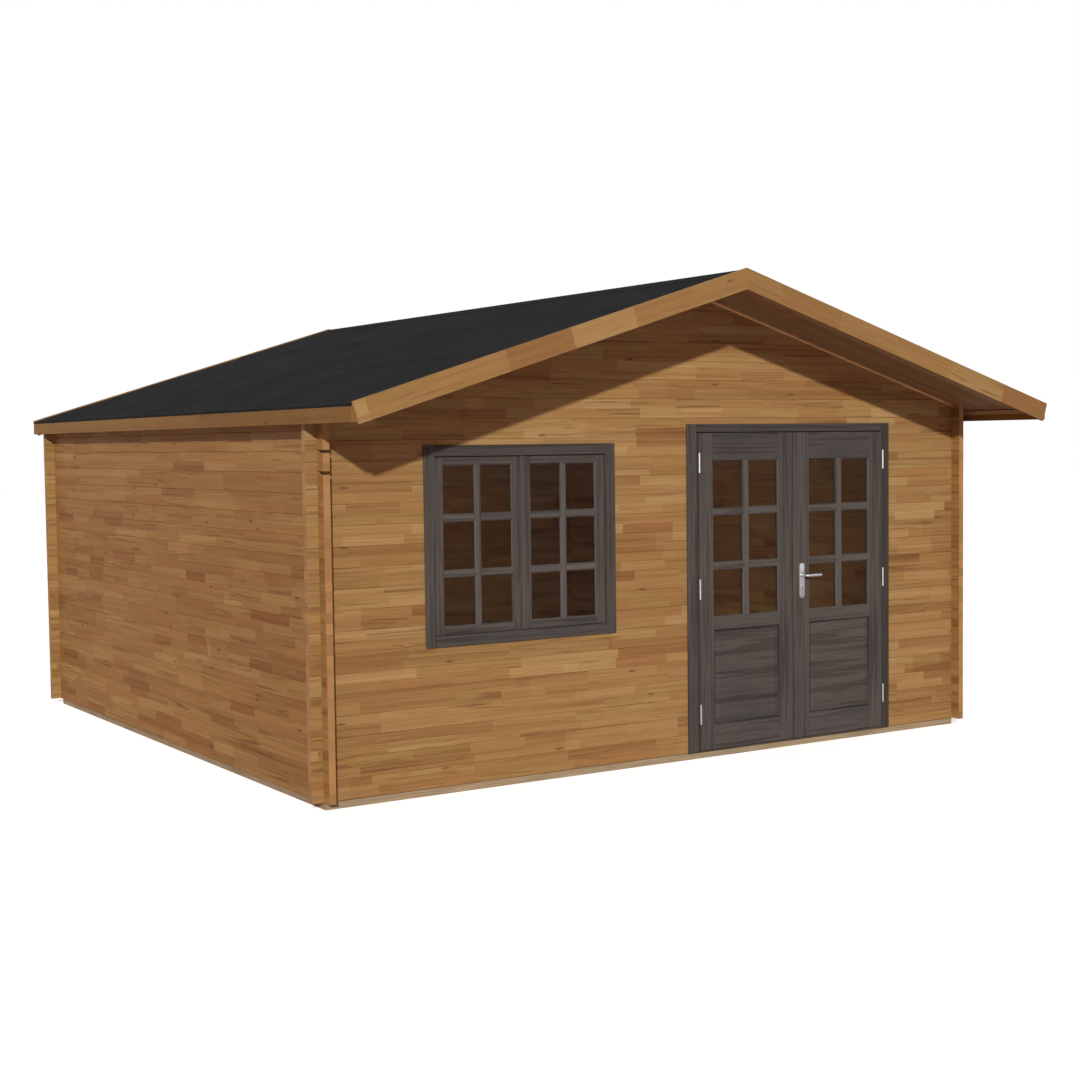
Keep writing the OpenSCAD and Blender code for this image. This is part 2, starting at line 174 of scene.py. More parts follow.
def noise(tree, where, scale=1.0, detail=3.0, roughness=0.5, distortion=0.0):
    node = tree.nodes.new("ShaderNodeTexNoise")
    plug(tree, node.inputs["Vector"], where)
    node.inputs["Scale"].default_value = scale
    node.inputs["Detail"].default_value = detail
    node.inputs["Roughness"].default_value = roughness
    node.inputs["Distortion"].default_value = distortion
    return node.outputs["Fac"]


def chance(tree, x, y, z=0.0):
    node = tree.nodes.new("ShaderNodeTexWhiteNoise")
    node.noise_dimensions = "3D"
    plug(tree, node.inputs["Vector"], vector(tree, x, y, z))
    return node.outputs["Value"]


def ramp(tree, factor, stops):
    node = tree.nodes.new("ShaderNodeValToRGB")
    plug(tree, node.inputs["Fac"], factor)
    elements = node.color_ramp.elements
    while len(elements) < len(stops):
        elements.new(1.0)
    for element, (place, colour) in zip(elements, stops):
        element.position = place
        element.color = (*colour, 1) if len(colour) == 3 else colour
    return node.outputs["Color"]


def grey(level):
    return (level, level, level)


def blend_colour(tree, kind, factor, first, second):
    node = tree.nodes.new("ShaderNodeMix")
    node.data_type = "RGBA"
    node.blend_type = kind
    plug(tree, node.inputs["Factor"], factor)
    for socket, value in ((node.inputs["A"], first), (node.inputs["B"], second)):
        plug(tree, socket, (*value, 1) if isinstance(value, tuple) else value)
    return node.outputs["Result"]


def shade(tree, amount, colour, tone):
    """The colour multiplied by a tone; an amount of 0 leaves it, and 1 does all of it."""
    return blend_colour(tree, "MULTIPLY", amount, colour, tone)


def new_group(name, inputs, outputs):
    tree = bpy.data.node_groups.new(name, "ShaderNodeTree")
    kinds = {"f": "NodeSocketFloat", "v": "NodeSocketVector", "c": "NodeSocketColor"}
    for title, kind, value in inputs:
        socket = tree.interface.new_socket(title, in_out="INPUT", socket_type=kinds[kind])
        if value is not None:
            socket.default_value = value
    for title, kind in outputs:
        tree.interface.new_socket(title, in_out="OUTPUT", socket_type=kinds[kind])
    into = tree.nodes.new("NodeGroupInput")
    out = tree.nodes.new("NodeGroupOutput")
    return tree, into.outputs, out.inputs


def use_group(tree, group, **values):
    node = tree.nodes.new("ShaderNodeGroup")
    node.node_tree = group
    for title, value in values.items():
        plug(tree, node.inputs[title.replace("_", " ")], value)
    return node.outputs


def new_material(name):
    material = bpy.data.materials.new(name)
    material.use_nodes = True
    tree = material.node_tree
    return material, tree, tree.nodes["Principled BSDF"]


def bump(tree, shader, height, strength, distance):
    node = tree.nodes.new("ShaderNodeBump")
    node.inputs["Strength"].default_value = strength
    node.inputs["Distance"].default_value = distance
    plug(tree, node.inputs["Height"], height)
    plug(tree, shader.inputs["Normal"], node.outputs["Normal"])


print("node helpers ready")

# %% [markdown]
# ## Finger-jointed wood
# Each log is glued up from two rows of staves, 57 mm high and about half a metre long.
# Every stave has its own tone, from pale honey to red brown, its own grain, and now and
# then a dark heart streak or a knot. One group does all this from a vector whose X runs
# along the grain and whose Y runs across it, so that each board only has to say which
# way it lies.


# %% Group: finger-jointed wood
STAVE = 0.057


def make_stave_wood():
    tree, given, out = new_group(
        "stave wood",
        [("Vector", "v", None), ("Stave Width", "f", STAVE), ("Stave Length", "f", 0.55),
         ("Board Width", "f", 2 * STAVE), ("Seed", "f", 0.0), ("Contrast", "f", 1.0)],
        [("Color", "c"), ("Roughness", "f"), ("Height", "f")],
    )
    along, across, depth = split(tree, given["Vector"])
    row = math(tree, "FLOOR", math(tree, "DIVIDE", across, given["Stave Width"]))
    row_luck = chance(tree, row, given["Seed"], 3.1)
    row_length = times(tree, given["Stave Length"],
                      math(tree, "MULTIPLY_ADD", row_luck, 0.9, 0.55))
    slid = math(tree, "MULTIPLY_ADD", row_luck, 7.3, along)
    cell = math(tree, "FLOOR", math(tree, "DIVIDE", slid, row_length))
    tone = chance(tree, cell, row, given["Seed"])
    second = chance(tree, cell, row, 41.7)
    stave = ramp(tree, tone, [
        (0.00, (0.255, 0.122, 0.044)), (0.07, (0.300, 0.160, 0.057)),
        (0.30, (0.322, 0.181, 0.064)), (0.60, (0.338, 0.196, 0.071)),
        (0.85, (0.352, 0.210, 0.079)), (1.00, (0.372, 0.232, 0.091)),
    ])
    # some staves lean to red and some to straw yellow
    stave = shade(tree, given["Contrast"], stave, ramp(tree, second, [
        (0.0, (1.02, 0.96, 0.95)), (0.5, grey(1.0)), (1.0, (0.985, 1.025, 0.98))]))
    # whole boards differ a little too
    board = math(tree, "FLOOR", math(tree, "DIVIDE", across, given["Board Width"]))
    board_part = math(tree, "MULTIPLY_ADD", board, 0.37, times(tree, along, 0.45))
    board_luck = chance(tree, board, math(tree, "FLOOR", board_part), 7.7)
    stave = shade(tree, given["Contrast"], stave, ramp(tree, board_luck, [
        (0.0, (0.91, 0.88, 0.85)), (0.5, grey(1.0)), (1.0, (1.05, 1.07, 1.08))]))
    # slow bands run on from stave to stave
    band_at = vector(tree, times(tree, along, 0.30),
                     times(tree, across, 19.0), given["Seed"])
    stave = shade(tree, given["Contrast"], stave, ramp(
        tree, noise(tree, band_at, 1.0, 3.0, 0.6),
        [(0.30, (0.86, 0.83, 0.80)), (0.50, grey(1.0)), (0.70, (1.07, 1.08, 1.09))]))
    # broad rings cut lengthwise, different in each stave
    ring_at = vector(
        tree, math(tree, "MULTIPLY_ADD", tone, 29.0, times(tree, along, 0.55)),
        math(tree, "MULTIPLY_ADD", second, 17.0, times(tree, across, 27.0)),
        times(tree, depth, 27.0))
    rings = noise(tree, ring_at, 1.0, 2.0, 0.45, 0.5)
    ring_tone = ramp(tree, rings, [
        (0.28, (0.84, 0.80, 0.76)), (0.46, grey(1.0)), (0.72, (1.08, 1.09, 1.10))])
    colour = shade(tree, given["Contrast"], stave, ring_tone)
    # late wood: the same rings drawn as thin dark contours
    contour = math(tree, "PINGPONG", times(tree, rings, 6.0), 0.5)
    late_wood = ramp(tree, contour, [
        (0.0, (0.86, 0.79, 0.72)), (0.14, grey(1.0)), (0.5, grey(1.02))])
    colour = shade(tree, given["Contrast"], colour, late_wood)
    # fine fibres
    fibre_at = vector(tree, times(tree, along, 7.0),
                      times(tree, across, 310.0), times(tree, depth, 310.0))
    fibres = noise(tree, fibre_at, 1.0, 2.0, 0.6)
    fibre_tone = ramp(tree, fibres, [(0.25, grey(0.88)), (0.75, grey(1.07))])
    colour = shade(tree, 0.8, colour, fibre_tone)
    # heart streaks: long, narrow and only in some staves
    streak_at = vector(
        tree, math(tree, "MULTIPLY_ADD", second, 50.0, times(tree, along, 1.7)),
        times(tree, across, 46.0), times(tree, depth, 24.0))
    streaks = noise(tree, streak_at, 1.0, 2.0, 0.45, 0.8)
    streak_mask = times(tree, math(tree, "GREATER_THAN", second, 0.62),
                       ramp(tree, streaks, [(0.56, grey(0.0)), (0.70, grey(0.7))]))
    colour = blend_colour(tree, "MIX", streak_mask, colour, (0.170, 0.062, 0.026))
    # knots: small lenses, long with the grain, here and there
    knot = tree.nodes.new("ShaderNodeTexVoronoi")
    knot.voronoi_dimensions = "2D"
    knot.inputs["Scale"].default_value = 1.0
    plug(tree, knot.inputs["Vector"], vector(
        tree, math(tree, "MULTIPLY_ADD", given["Seed"], 3.3, times(tree, along, 1.5)),
        times(tree, across, 6.0), 0.0))
    knot_mask = ramp(tree, times(tree, knot.outputs["Distance"], 8.0),
                     [(0.12, grey(0.75)), (0.24, grey(0.45)), (0.50, grey(0.0))])
    knot_luck = split(tree, knot.outputs["Color"])[0]
    knot_mask = times(tree, knot_mask, math(tree, "GREATER_THAN", knot_luck, 0.66))
    colour = blend_colour(tree, "MIX", knot_mask, colour, (0.120, 0.042, 0.020))
    # painted shade: a fine darker line where two boards meet, for the shade in the V between them
    from_joint = math(tree, "PINGPONG", across, times(tree, given["Board Width"], 0.5))
    joint_painted_shade = ramp(tree, times(tree, from_joint, 200.0),
                      [(0.10, (0.88, 0.85, 0.82)), (0.50, grey(1.0))])
    colour = shade(tree, 1.0, colour, joint_painted_shade)
    plug(tree, out["Color"], colour)
    plug(tree, out["Roughness"], math(tree, "MULTIPLY_ADD", rings, 0.18, 0.50))
    plug(tree, out["Height"], math(tree, "ADD", times(tree, fibres, 0.6),
                                   times(tree, rings, 0.4)))
    return tree


stave_wood = make_stave_wood()
print("group:", stave_wood.name)

# %% [markdown]
# ## End grain
# Where a log is sawn through, its end shows rings instead of long fibres, and it drinks
# more stain and dirt, so it looks a little darker. The group returns a mask from the
# surface normal and a ring pattern from the place.


# %% Group: end grain
def make_end_grain():
    tree, given, out = new_group(
        "end grain",
        [("Vector", "v", None), ("Normal", "v", None), ("Direction", "v", None)],
        [("Mask", "f"), ("Color", "c")],
    )
    dot = tree.nodes.new("ShaderNodeVectorMath")
    dot.operation = "DOT_PRODUCT"
    plug(tree, dot.inputs[0], given["Normal"])
    plug(tree, dot.inputs[1], given["Direction"])
    mask = math(tree, "GREATER_THAN", math(tree, "ABSOLUTE", dot.outputs["Value"]), 0.85)
    along, across, depth = split(tree, given["Vector"])
    log = math(tree, "FLOOR", math(tree, "DIVIDE", across, STAVE))
    luck = chance(tree, log, 5.0, 9.0)
    centre = math(tree, "MULTIPLY_ADD", luck, 0.05, -0.05)
    y = math(tree, "SUBTRACT", math(tree, "SUBTRACT", across, times(tree, log, STAVE)),
             centre)
    radius = math(tree, "POWER", math(tree, "ADD", times(tree, y, y),
                                      times(tree, depth, depth)), 0.5)
    wave = math(tree, "SINE", times(tree, radius, 2600.0))
    tone = math(tree, "MULTIPLY_ADD", wave, 0.09, math(tree, "MULTIPLY_ADD", luck, 0.3, 0.72))
    plug(tree, out["Color"], shade(tree, 1.0, (0.40, 0.225, 0.092), tone))
    plug(tree, out["Mask"], mask)
    return tree


end_grain = make_end_grain()
print("group:", end_grain.name)


# %% [markdown]
# ## Planed wood
# The two groups meet in one material. It turns the place on the piece into along, across
# and deep, so the grain follows a sloping board as well as a level one, and it lets a
# sawn end show rings. A tint, a stave size and a seed make it the wood of one part.

# %% Material: planed wood
WOOD_SHINE = 0.10


def planed_wood(name, along, across, stave, length, seed, tint=(1, 1, 1), start=0.0,
                staves=1, contrast=1.0):
    """Wood whose grain runs along one direction, with its staves side by side along another.
    The first board begins where the distance across equals start; each has so many staves."""
    material, tree, shader = new_material(name)
    place = tree.nodes.new("ShaderNodeTexCoord")

    def component(direction):
        dot = tree.nodes.new("ShaderNodeVectorMath")
        dot.operation = "DOT_PRODUCT"
        plug(tree, dot.inputs[0], place.outputs["Object"])
        dot.inputs[1].default_value = direction
        return dot.outputs["Value"]

    along, across = Vector(along).normalized(), Vector(across).normalized()
    depth = along.cross(across)
    sideways = math(tree, "SUBTRACT", component(across), start)
    where = vector(tree, component(along), sideways, component(depth))
    wood = use_group(tree, stave_wood, Vector=where, Stave_Width=stave, Stave_Length=length,
                     Board_Width=stave * staves, Seed=seed, Contrast=contrast)
    ends = use_group(tree, end_grain, Vector=where, Normal=place.outputs["Normal"],
                     Direction=tuple(along))
    colour = blend_colour(tree, "MIX", ends["Mask"], wood["Color"], ends["Color"])
    colour = shade(tree, 1.0, colour, tint)
    plug(tree, shader.inputs["Base Color"], colour)
    plug(tree, shader.inputs["Roughness"], wood["Roughness"])
    shader.inputs["Specular IOR Level"].default_value = WOOD_SHINE
    bump(tree, shader, wood["Height"], 0.35, 0.0012)
    return material


print("planed wood reflects", WOOD_SHINE)

# %% [markdown]
# ## The wood of each part
# Logs are finger-jointed from two rows of staves, boards are one piece wide. Walls that
# face the front and walls that face the side differ in seed, and the side courses lie
# half a log lower. The side logs are also tinted redder and a little darker, which is
# painted shade for the walls that get less sun. The wood under the roof has a cooler
# tint, painted shade for the colour it takes in the shade there, and the trims and
# battens are pale, which paints in light that catches them in that shade.

# %% The wood of each part
X, Y, Z = (1, 0, 0), (0, 1, 0), (0, 0, 1)
ROOF_BOARDS = 57
FLOOR_BOARDS = 39
deck_low, deck_high = corners("roof_boards_right")
floor_low, floor_high = corners("floor_boards")
roof_board = (deck_high.y - deck_low.y) / ROOF_BOARDS
floor_board = (floor_high.x - floor_low.x) / FLOOR_BOARDS
DOWN_LEFT = (-cos(PITCH), 0, -sin(PITCH))
DOWN_RIGHT = (cos(PITCH), 0, -sin(PITCH))
OUT_LEFT = (-sin(PITCH), 0, cos(PITCH))
OUT_RIGHT = (sin(PITCH), 0, cos(PITCH))
logs_across = planed_wood("logs_front_and_back", X, Z, STAVE, 0.50, 1.0, start=beam_top, staves=2)
# painted shade: the side logs' tint makes them redder and a little darker than the front logs
side_logs_painted_shade = planed_wood("logs_sides_painted_shade", Y, Z, STAVE, 0.50, 2.0, (0.99, 0.92, 0.83),
                        beam_top - STAVE, 2)
BARGE = 0.118
barge_top = ridge_z * cos(PITCH) + 0.0005
barge_left = planed_wood("bargeboard_wood_left", DOWN_LEFT, OUT_LEFT, BARGE, 0.60, 3.0,
                         (1.03, 1.06, 1.06), barge_top, contrast=0.7)
barge_right = planed_wood("bargeboard_wood_right", DOWN_RIGHT, OUT_RIGHT, BARGE, 0.60, 4.0,
                          (0.94, 0.95, 0.94), barge_top, contrast=0.7)
# painted highlight: the trims and battens are tinted pale, to paint in the light they catch in the shade
# under the roof
painted_highlight_trim_wood = planed_wood("pale_trim_wood_painted_highlight", X, Z, 0.200, 1.6, 10.0, (2.3, 2.3, 2.5), contrast=0.3)
painted_highlight_batten_wood = planed_wood("pale_batten_wood_painted_highlight", Y, Z, 0.200, 8.0, 11.0, (1.5, 1.6, 1.7), contrast=0.3)
eave_wood = planed_wood("eave_board_wood", Y, Z, 0.100, 9.0, 5.0, (0.69, 0.61, 0.48),
                        corners("eave_boards")[0].z - 0.001, contrast=0.7)
# painted shade: a cooler tint for the boards under the roof, for the colour of the shade there
UNDER_ROOF_PAINTED_SHADE = (0.80, 0.86, 1.08)
roof_wood_left = planed_wood("roof_board_wood_left", DOWN_LEFT, Y, roof_board, 2.9, 6.0,
                             UNDER_ROOF_PAINTED_SHADE, deck_low.y)
roof_wood_right = planed_wood("roof_board_wood_right", DOWN_RIGHT, Y, roof_board, 2.9, 7.0,
                              UNDER_ROOF_PAINTED_SHADE, deck_low.y)
purlin_wood = planed_wood("purlin_wood", Y, Z, 0.145, 1.8, 8.0)
floor_wood = planed_wood("floor_board_wood", Y, X, floor_board, 2.4, 9.0, (1.0, 1.05, 1.1),
                         floor_low.x)
print("planed wood materials:", len(bpy.data.materials))

# %% [markdown]
# ## Treated beams
# The beams that carry the walls are pressure treated: a pale, slightly green grey wood
# with a rougher, sawn face.


# %% Material: treated beams
def treated_timber():
    material, tree, shader = new_material("treated_timber")
    place = object_place(tree)
    x, y, z = split(tree, place)
    sawn_at = vector(tree, times(tree, x, 3.0), times(tree, y, 3.0), times(tree, z, 120.0))
    lengthwise = noise(tree, sawn_at, 1.0, 4.0, 0.6)
    blotch = noise(tree, place, 3.0, 3.0, 0.5)
    colour = ramp(tree, lengthwise, [(0.30, (0.27, 0.19, 0.11)), (0.55, (0.37, 0.28, 0.17)),
                                     (0.75, (0.45, 0.35, 0.22))])
    colour = shade(tree, 0.6, colour,
                          ramp(tree, blotch, [(0.3, (0.80, 0.84, 0.78)), (0.7, (1.05, 1.02, 1.0))]))
    plug(tree, shader.inputs["Base Color"], colour)
    shader.inputs["Roughness"].default_value = 0.8
    shader.inputs["Specular IOR Level"].default_value = 0.1
    bump(tree, shader, lengthwise, 0.5, 0.002)
    return material


beam_timber = treated_timber()
print("material:", beam_timber.name)

# %% [markdown]
# ## Roofing felt
# Bitumen felt is pressed full of fine slate grit. The grit gives a speckled dark grey
# and keeps it matt; a slow unevenness shows where the sheet has been walked on.


# %% Material: roofing felt
def roofing_felt():
    material, tree, shader = new_material("mineral_felt")
    place = object_place(tree)
    grit = tree.nodes.new("ShaderNodeTexVoronoi")
    plug(tree, grit.inputs["Vector"], place)
    grit.inputs["Scale"].default_value = 420.0
    speck = noise(tree, place, 900.0, 2.0, 0.7)
    cloud = noise(tree, place, 1.7, 4.0, 0.6)
    colour = ramp(tree, speck, [(0.30, (0.014, 0.014, 0.014)), (0.55, (0.026, 0.0265, 0.027)),
                                (0.75, (0.045, 0.045, 0.045))])
    colour = shade(tree, 1.0, colour,
                          ramp(tree, cloud, [(0.30, grey(0.78)), (0.70, grey(1.12))]))
    plug(tree, shader.inputs["Base Color"], colour)
    shader.inputs["Roughness"].default_value = 0.92
    shader.inputs["Specular IOR Level"].default_value = 0.02
    bump(tree, shader, grit.outputs["Distance"], 0.5, 0.0015)
    return material


felt = roofing_felt()
print("material:", felt.name)

# %% [markdown]
# ## Stained joinery
# Doors and window are stained dark grey brown. The stain sinks deeper into the soft
# early wood, so the grain shows as light and dark lines along every rail and stile. The
# joinery is made of separate sticks below, and each stick's UV map runs along its own
# grain, so one material serves uprights and rails alike. An attribute called tone sets
# how dark each stick is: it varies a little at random, because no two sticks take the
# stain the same, and it is also set per kind of stick, which darkens the mouldings round
# the panels as painted shade.


# %% Material: dark stain
def dark_stain():
    material, tree, shader = new_material("dark_stained_wood")
    uv = tree.nodes.new("ShaderNodeUVMap")
    uv.uv_map = "grain"
    along, across, _ = split(tree, uv.outputs["UV"])
    figure_at = vector(tree, times(tree, along, 0.8), times(tree, across, 38.0), 0.0)
    figure = noise(tree, figure_at, 1.0, 3.0, 0.62, 0.35)
    contour = math(tree, "PINGPONG", times(tree, figure, 7.0), 0.5)
    fibre_at = vector(tree, times(tree, along, 4.0), times(tree, across, 420.0), 0.0)
    fibres = noise(tree, fibre_at, 1.0, 2.0, 0.6)
    slow = noise(tree, vector(tree, along, across, 4.0), 1.6, 2.0, 0.5)
    colour = ramp(tree, figure, [(0.26, (0.039, 0.032, 0.028)), (0.42, (0.071, 0.060, 0.052)),
                                 (0.56, (0.097, 0.086, 0.075)), (0.74, (0.056, 0.047, 0.040))])
    colour = shade(tree, 1.0, colour,
                          ramp(tree, contour, [(0.0, grey(0.74)), (0.16, grey(1.0)), (0.5, grey(1.06))]))
    colour = shade(tree, 0.8, colour,
                          ramp(tree, fibres, [(0.25, grey(0.72)), (0.75, grey(1.12))]))
    colour = shade(tree, 1.0, colour,
                          ramp(tree, slow, [(0.30, (0.84, 0.86, 0.86)), (0.70, (1.12, 1.08, 1.07))]))
    # the tone attribute: random stain per stick, and painted shade on the panel mouldings
    stain_and_painted_shade = tree.nodes.new("ShaderNodeAttribute")
    stain_and_painted_shade.attribute_name = "tone"
    colour = shade(tree, 1.0, colour, stain_and_painted_shade.outputs["Fac"])
    plug(tree, shader.inputs["Base Color"], colour)
    plug(tree, shader.inputs["Roughness"], math(tree, "MULTIPLY_ADD", fibres, 0.2, 0.42))
    shader.inputs["Specular IOR Level"].default_value = 0.08
    bump(tree, shader, math(tree, "ADD", figure, fibres), 0.3, 0.0010)
    return material


stain = dark_stain()
print("material:", stain.name)


# %% [markdown]
# ## Glass and steel
# The panes are clear, with an index of refraction low enough that they hardly mirror
# the bright ground. One steel recipe serves fittings, screws, nails and the near-black
# steel that paints the shade in each keyway and round the lever collars: they differ only
# in how bright and how rough they are.

# %% Materials: glass and steel
def clear_glass():
    material, tree, shader = new_material("clear_glass")
    place = object_place(tree)
    shader.inputs["Base Color"].default_value = (0.97, 0.98, 0.97, 1)
    shader.inputs["Transmission Weight"].default_value = 1.0
    shader.inputs["IOR"].default_value = 1.14
    film = noise(tree, place, 5.0, 3.0, 0.6)
    plug(tree, shader.inputs["Roughness"], times(tree, film, 0.02))
    return material


def satin_steel(name, level, roughness):
    material, tree, shader = new_material(name)
    place = object_place(tree)
    x, y, z = split(tree, place)
    brush_at = vector(tree, times(tree, x, 900.0), times(tree, y, 900.0), times(tree, z, 30.0))
    brushed = noise(tree, brush_at, 1.0, 2.0, 0.5)
    smudge = noise(tree, place, 40.0, 3.0, 0.5)
    shader.inputs["Metallic"].default_value = 1.0
    plug(tree, shader.inputs["Base Color"], ramp(tree, smudge, [
        (0.3, grey(level * 0.92)), (0.7, (level, level, level * 0.985))]))
    plug(tree, shader.inputs["Roughness"], math(tree, "MULTIPLY_ADD", brushed, 0.15, roughness))
    bump(tree, shader, brushed, 0.1, 0.0003)
    return material


glass = clear_glass()
steel = satin_steel("satin_steel", 0.66, 0.27)
screw_steel = satin_steel("galvanised_screws", 0.50, 0.42)
dark_nails = satin_steel("bitumen_coated_nails", 0.045, 0.60)
painted_shade_steel = satin_steel("lock_slot_painted_shade_steel", 0.05, 0.5)
print("materials:", len(bpy.data.materials))

# %% [markdown]
# ## The timber that the frame already shapes
# Walls, gables, bargeboards, eave boards, purlins and beams keep their CAD form. A real
# board never has a knife edge, so the bargeboards, trims, eave boards, purlins and beams
# get a weld and a small bevel as modifiers; the walls, gables, panes and hinges get none,
# and the mesh itself stays as it is.


# %% Dress the CAD nodes
def dress(node, material, arris=0.0):
    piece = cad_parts[node]
    piece.data.materials.clear()
    piece.data.materials.append(material)
    if arris:
        weld = piece.modifiers.new("weld", "WELD")
        weld.merge_threshold = 0.00002
        edge = piece.modifiers.new("arris", "BEVEL")
        edge.width = arris
        edge.segments = 2
        edge.limit_method = "ANGLE"
        edge.angle_limit = radians(35)
        edge.harden_normals = False


FRONT_LOGS = ["front_wall_left", "front_wall_under_window", "front_wall_over_openings",
              "front_wall_middle", "front_wall_right", "front_gable", "back_wall", "back_gable"]
for name in FRONT_LOGS:
    dress(name, logs_across)
for name in ("left_wall", "right_wall"):
    dress(name, side_logs_painted_shade)
for end in ("front", "rear"):
    dress(f"{end}_bargeboard_left", barge_left, 0.0015)
    dress(f"{end}_bargeboard_right", barge_right, 0.0015)
    dress(f"{end}_soffit_trim", painted_highlight_trim_wood, 0.001)
dress("eave_boards", eave_wood, 0.0015)
dress("purlins", purlin_wood, 0.002)
for name in ("foundation_front_and_back", "foundation_sides", "floor_joists"):
    dress(name, beam_timber, 0.002)
for name in ("window_glass", "left_door_glass", "right_door_glass"):
    dress(name, glass)
for name in ("door_hinge_frame_halves", "left_door_hinge_halves", "right_door_hinge_halves"):
    dress(name, steel)
print("dressed", len([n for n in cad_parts.values() if n.data.materials]), "nodes")

# %% [markdown]
# ## Sticks, mouldings and panels
# Joinery is a set of sticks, so the pieces below are built from lofts: a row of rings
# joined by faces and closed at both ends. One builder serves for a chamfered stick, a
# mitred moulding, a fielded panel and a bent lever, and it lays the UVs along the grain.


# %% Builder for lofted pieces
class Lofts:
    """Collects closed lofts in one mesh. Each has its own stretch of the grain's UV map."""

    def __init__(self):
        self.bm = bmesh.new()
        self.uv = self.bm.loops.layers.uv.new("grain")
        self.tones = self.bm.faces.layers.float.new("tone")
        self.tone = 1.0
        self.count = 0

    def loft(self, rings, runs=None, plane=None, cyclic=False):
        """runs gives the distance along the grain at each stretch's two ends; plane, the
        directions along and across the grain of a flat piece."""
        self.count += 1
        tone = self.tone * (0.90 + 0.20 * (self.count * 0.618 % 1))
        shift = Vector((self.count * 3.71 % 40, self.count * 1.93 % 40))
        loops = [[self.bm.verts.new(point) for point in ring] for ring in rings]
        size = len(rings[0])
        around = [0.0]
        for j in range(size):
            step = Vector(rings[0][(j + 1) % size]) - Vector(rings[0][j])
            around.append(around[-1] + step.length)
        pairs = list(zip(loops, loops[1:])) + ([(loops[-1], loops[0])] if cyclic else [])
        for i, (near, far) in enumerate(pairs):
            start, stop = runs[i] if runs else (i * 0.05, i * 0.05 + 0.05)
            for j in range(size):
                k = (j + 1) % size
                face = self.bm.faces.new((near[j], near[k], far[k], far[j]))
                face[self.tones] = tone
                spots = ((start, around[j]), (start, around[j + 1]),
                         (stop, around[j + 1]), (stop, around[j]))
                for loop, spot in zip(face.loops, spots):
                    co = loop.vert.co
                    flat = (co.dot(plane[0]), co.dot(plane[1])) if plane else spot
                    loop[self.uv].uv = Vector(flat) + shift
        if cyclic:
            return
        for ring in (loops[0], loops[-1]):
            face = self.bm.faces.new(ring)
            face[self.tones] = tone
            for loop in face.loops:
                co = loop.vert.co
                flat = (co.x + co.y + co.z, co.x * 3)
                if plane:
                    flat = (co.dot(plane[0]), co.dot(plane[1]))
                loop[self.uv].uv = Vector(flat) + shift

    def stick(self, one, other, grain, chamfer=0.0015):
        """A box between two corners, with its long edges chamfered along axis number grain."""
        low = [min(pair) for pair in zip(one, other)]
        high = [max(pair) for pair in zip(one, other)]
        a, b = [axis for axis in range(3) if axis != grain]
        c = min(chamfer, (high[a] - low[a]) / 3, (high[b] - low[b]) / 3)
        outline = [(low[a] + c, low[b]), (high[a] - c, low[b]), (high[a], low[b] + c),
                   (high[a], high[b] - c), (high[a] - c, high[b]), (low[a] + c, high[b]),
                   (low[a], high[b] - c), (low[a], low[b] + c)]
        rings = []
        for end in (low[grain], high[grain]):
            ring = []
            for pair in outline:
                point = [end, end, end]
                point[a], point[b] = pair
                ring.append(point)
            rings.append(ring)
        self.loft(rings, runs=[(low[grain], high[grain])])

    def moulding(self, x0, x1, z0, z1, face_y, deep_y, width):
        """A mitred strip round the inside of an opening, from its face down to the pane."""
        drop = deep_y - face_y
        profile = [(0, face_y), (width * 0.40, face_y + drop * 0.10),
                   (width * 0.62, face_y + drop * 0.30), (width * 0.85, face_y + drop * 0.72),
                   (width, deep_y), (0, deep_y)]
        turns = [((x0, z0), (1, 1)), ((x1, z0), (-1, 1)), ((x1, z1), (-1, -1)), ((x0, z1), (1, -1))]
        rings = []
        for (x, z), (turn_x, turn_z) in turns:
            rings.append([(x + turn_x * inset, y, z + turn_z * inset) for inset, y in profile])
        self.loft(rings, runs=[(0, x1 - x0), (0, z1 - z0), (0, x1 - x0), (0, z1 - z0)], cyclic=True)

    def fielded_panel(self, x0, x1, z0, z1, y_front, y_back, edge, slope, rise):
        """A flat board whose middle is raised on both faces, with sloping borders."""
        steps = [(edge + slope, y_front - rise), (edge, y_front - rise * 0.25), (edge, y_front),
                 (0, y_front), (0, y_back), (edge, y_back), (edge, y_back + rise * 0.25),
                 (edge + slope, y_back + rise)]
        rings = [[(x0 + inset, y, z0 + inset), (x1 - inset, y, z0 + inset),
                  (x1 - inset, y, z1 - inset), (x0 + inset, y, z1 - inset)] for inset, y in steps]
        self.loft(rings, plane=(Vector(X) * 0.7, Vector(Z) * 0.45))

    def mesh(self, name, smooth_below=0.0):
        mesh = bpy.data.meshes.new(name)
        bmesh.ops.recalc_face_normals(self.bm, faces=self.bm.faces)
        self.bm.to_mesh(mesh)
        self.bm.free()
        if smooth_below:
            mesh.shade_smooth()
            mesh.set_sharp_from_angle(angle=radians(smooth_below))
        return mesh


def add_piece(name, mesh, material, body, slot, *replaced):
    piece = new_object(name, mesh)
    if material:
        mesh.materials.clear()
        mesh.materials.append(material)
    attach(piece, body)
    if replaced:
        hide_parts(*replaced)
    print(f"{name}: {len(mesh.polygons)} faces on {body}")
    return piece


print("lofts: stick, moulding and fielded panel")

# %% [markdown]
# ## Glazed openings
# A pane sits between two beads. Each bar and each bead is its own mitred piece, on the
# outside and on the inside, so the light catches an edge round every pane.


# %% Bars and beads
# How light or dark each kind of stick is made: the bars and beads lighter than the rest, the frames and
# panels a little darker. The mouldings round the panels are darker still, as painted shade.
BAR_TONE = 1.22
FRAME_TONE = 0.92
PANEL_TONE = 0.92
PANEL_MOULDING_PAINTED_SHADE = 0.62


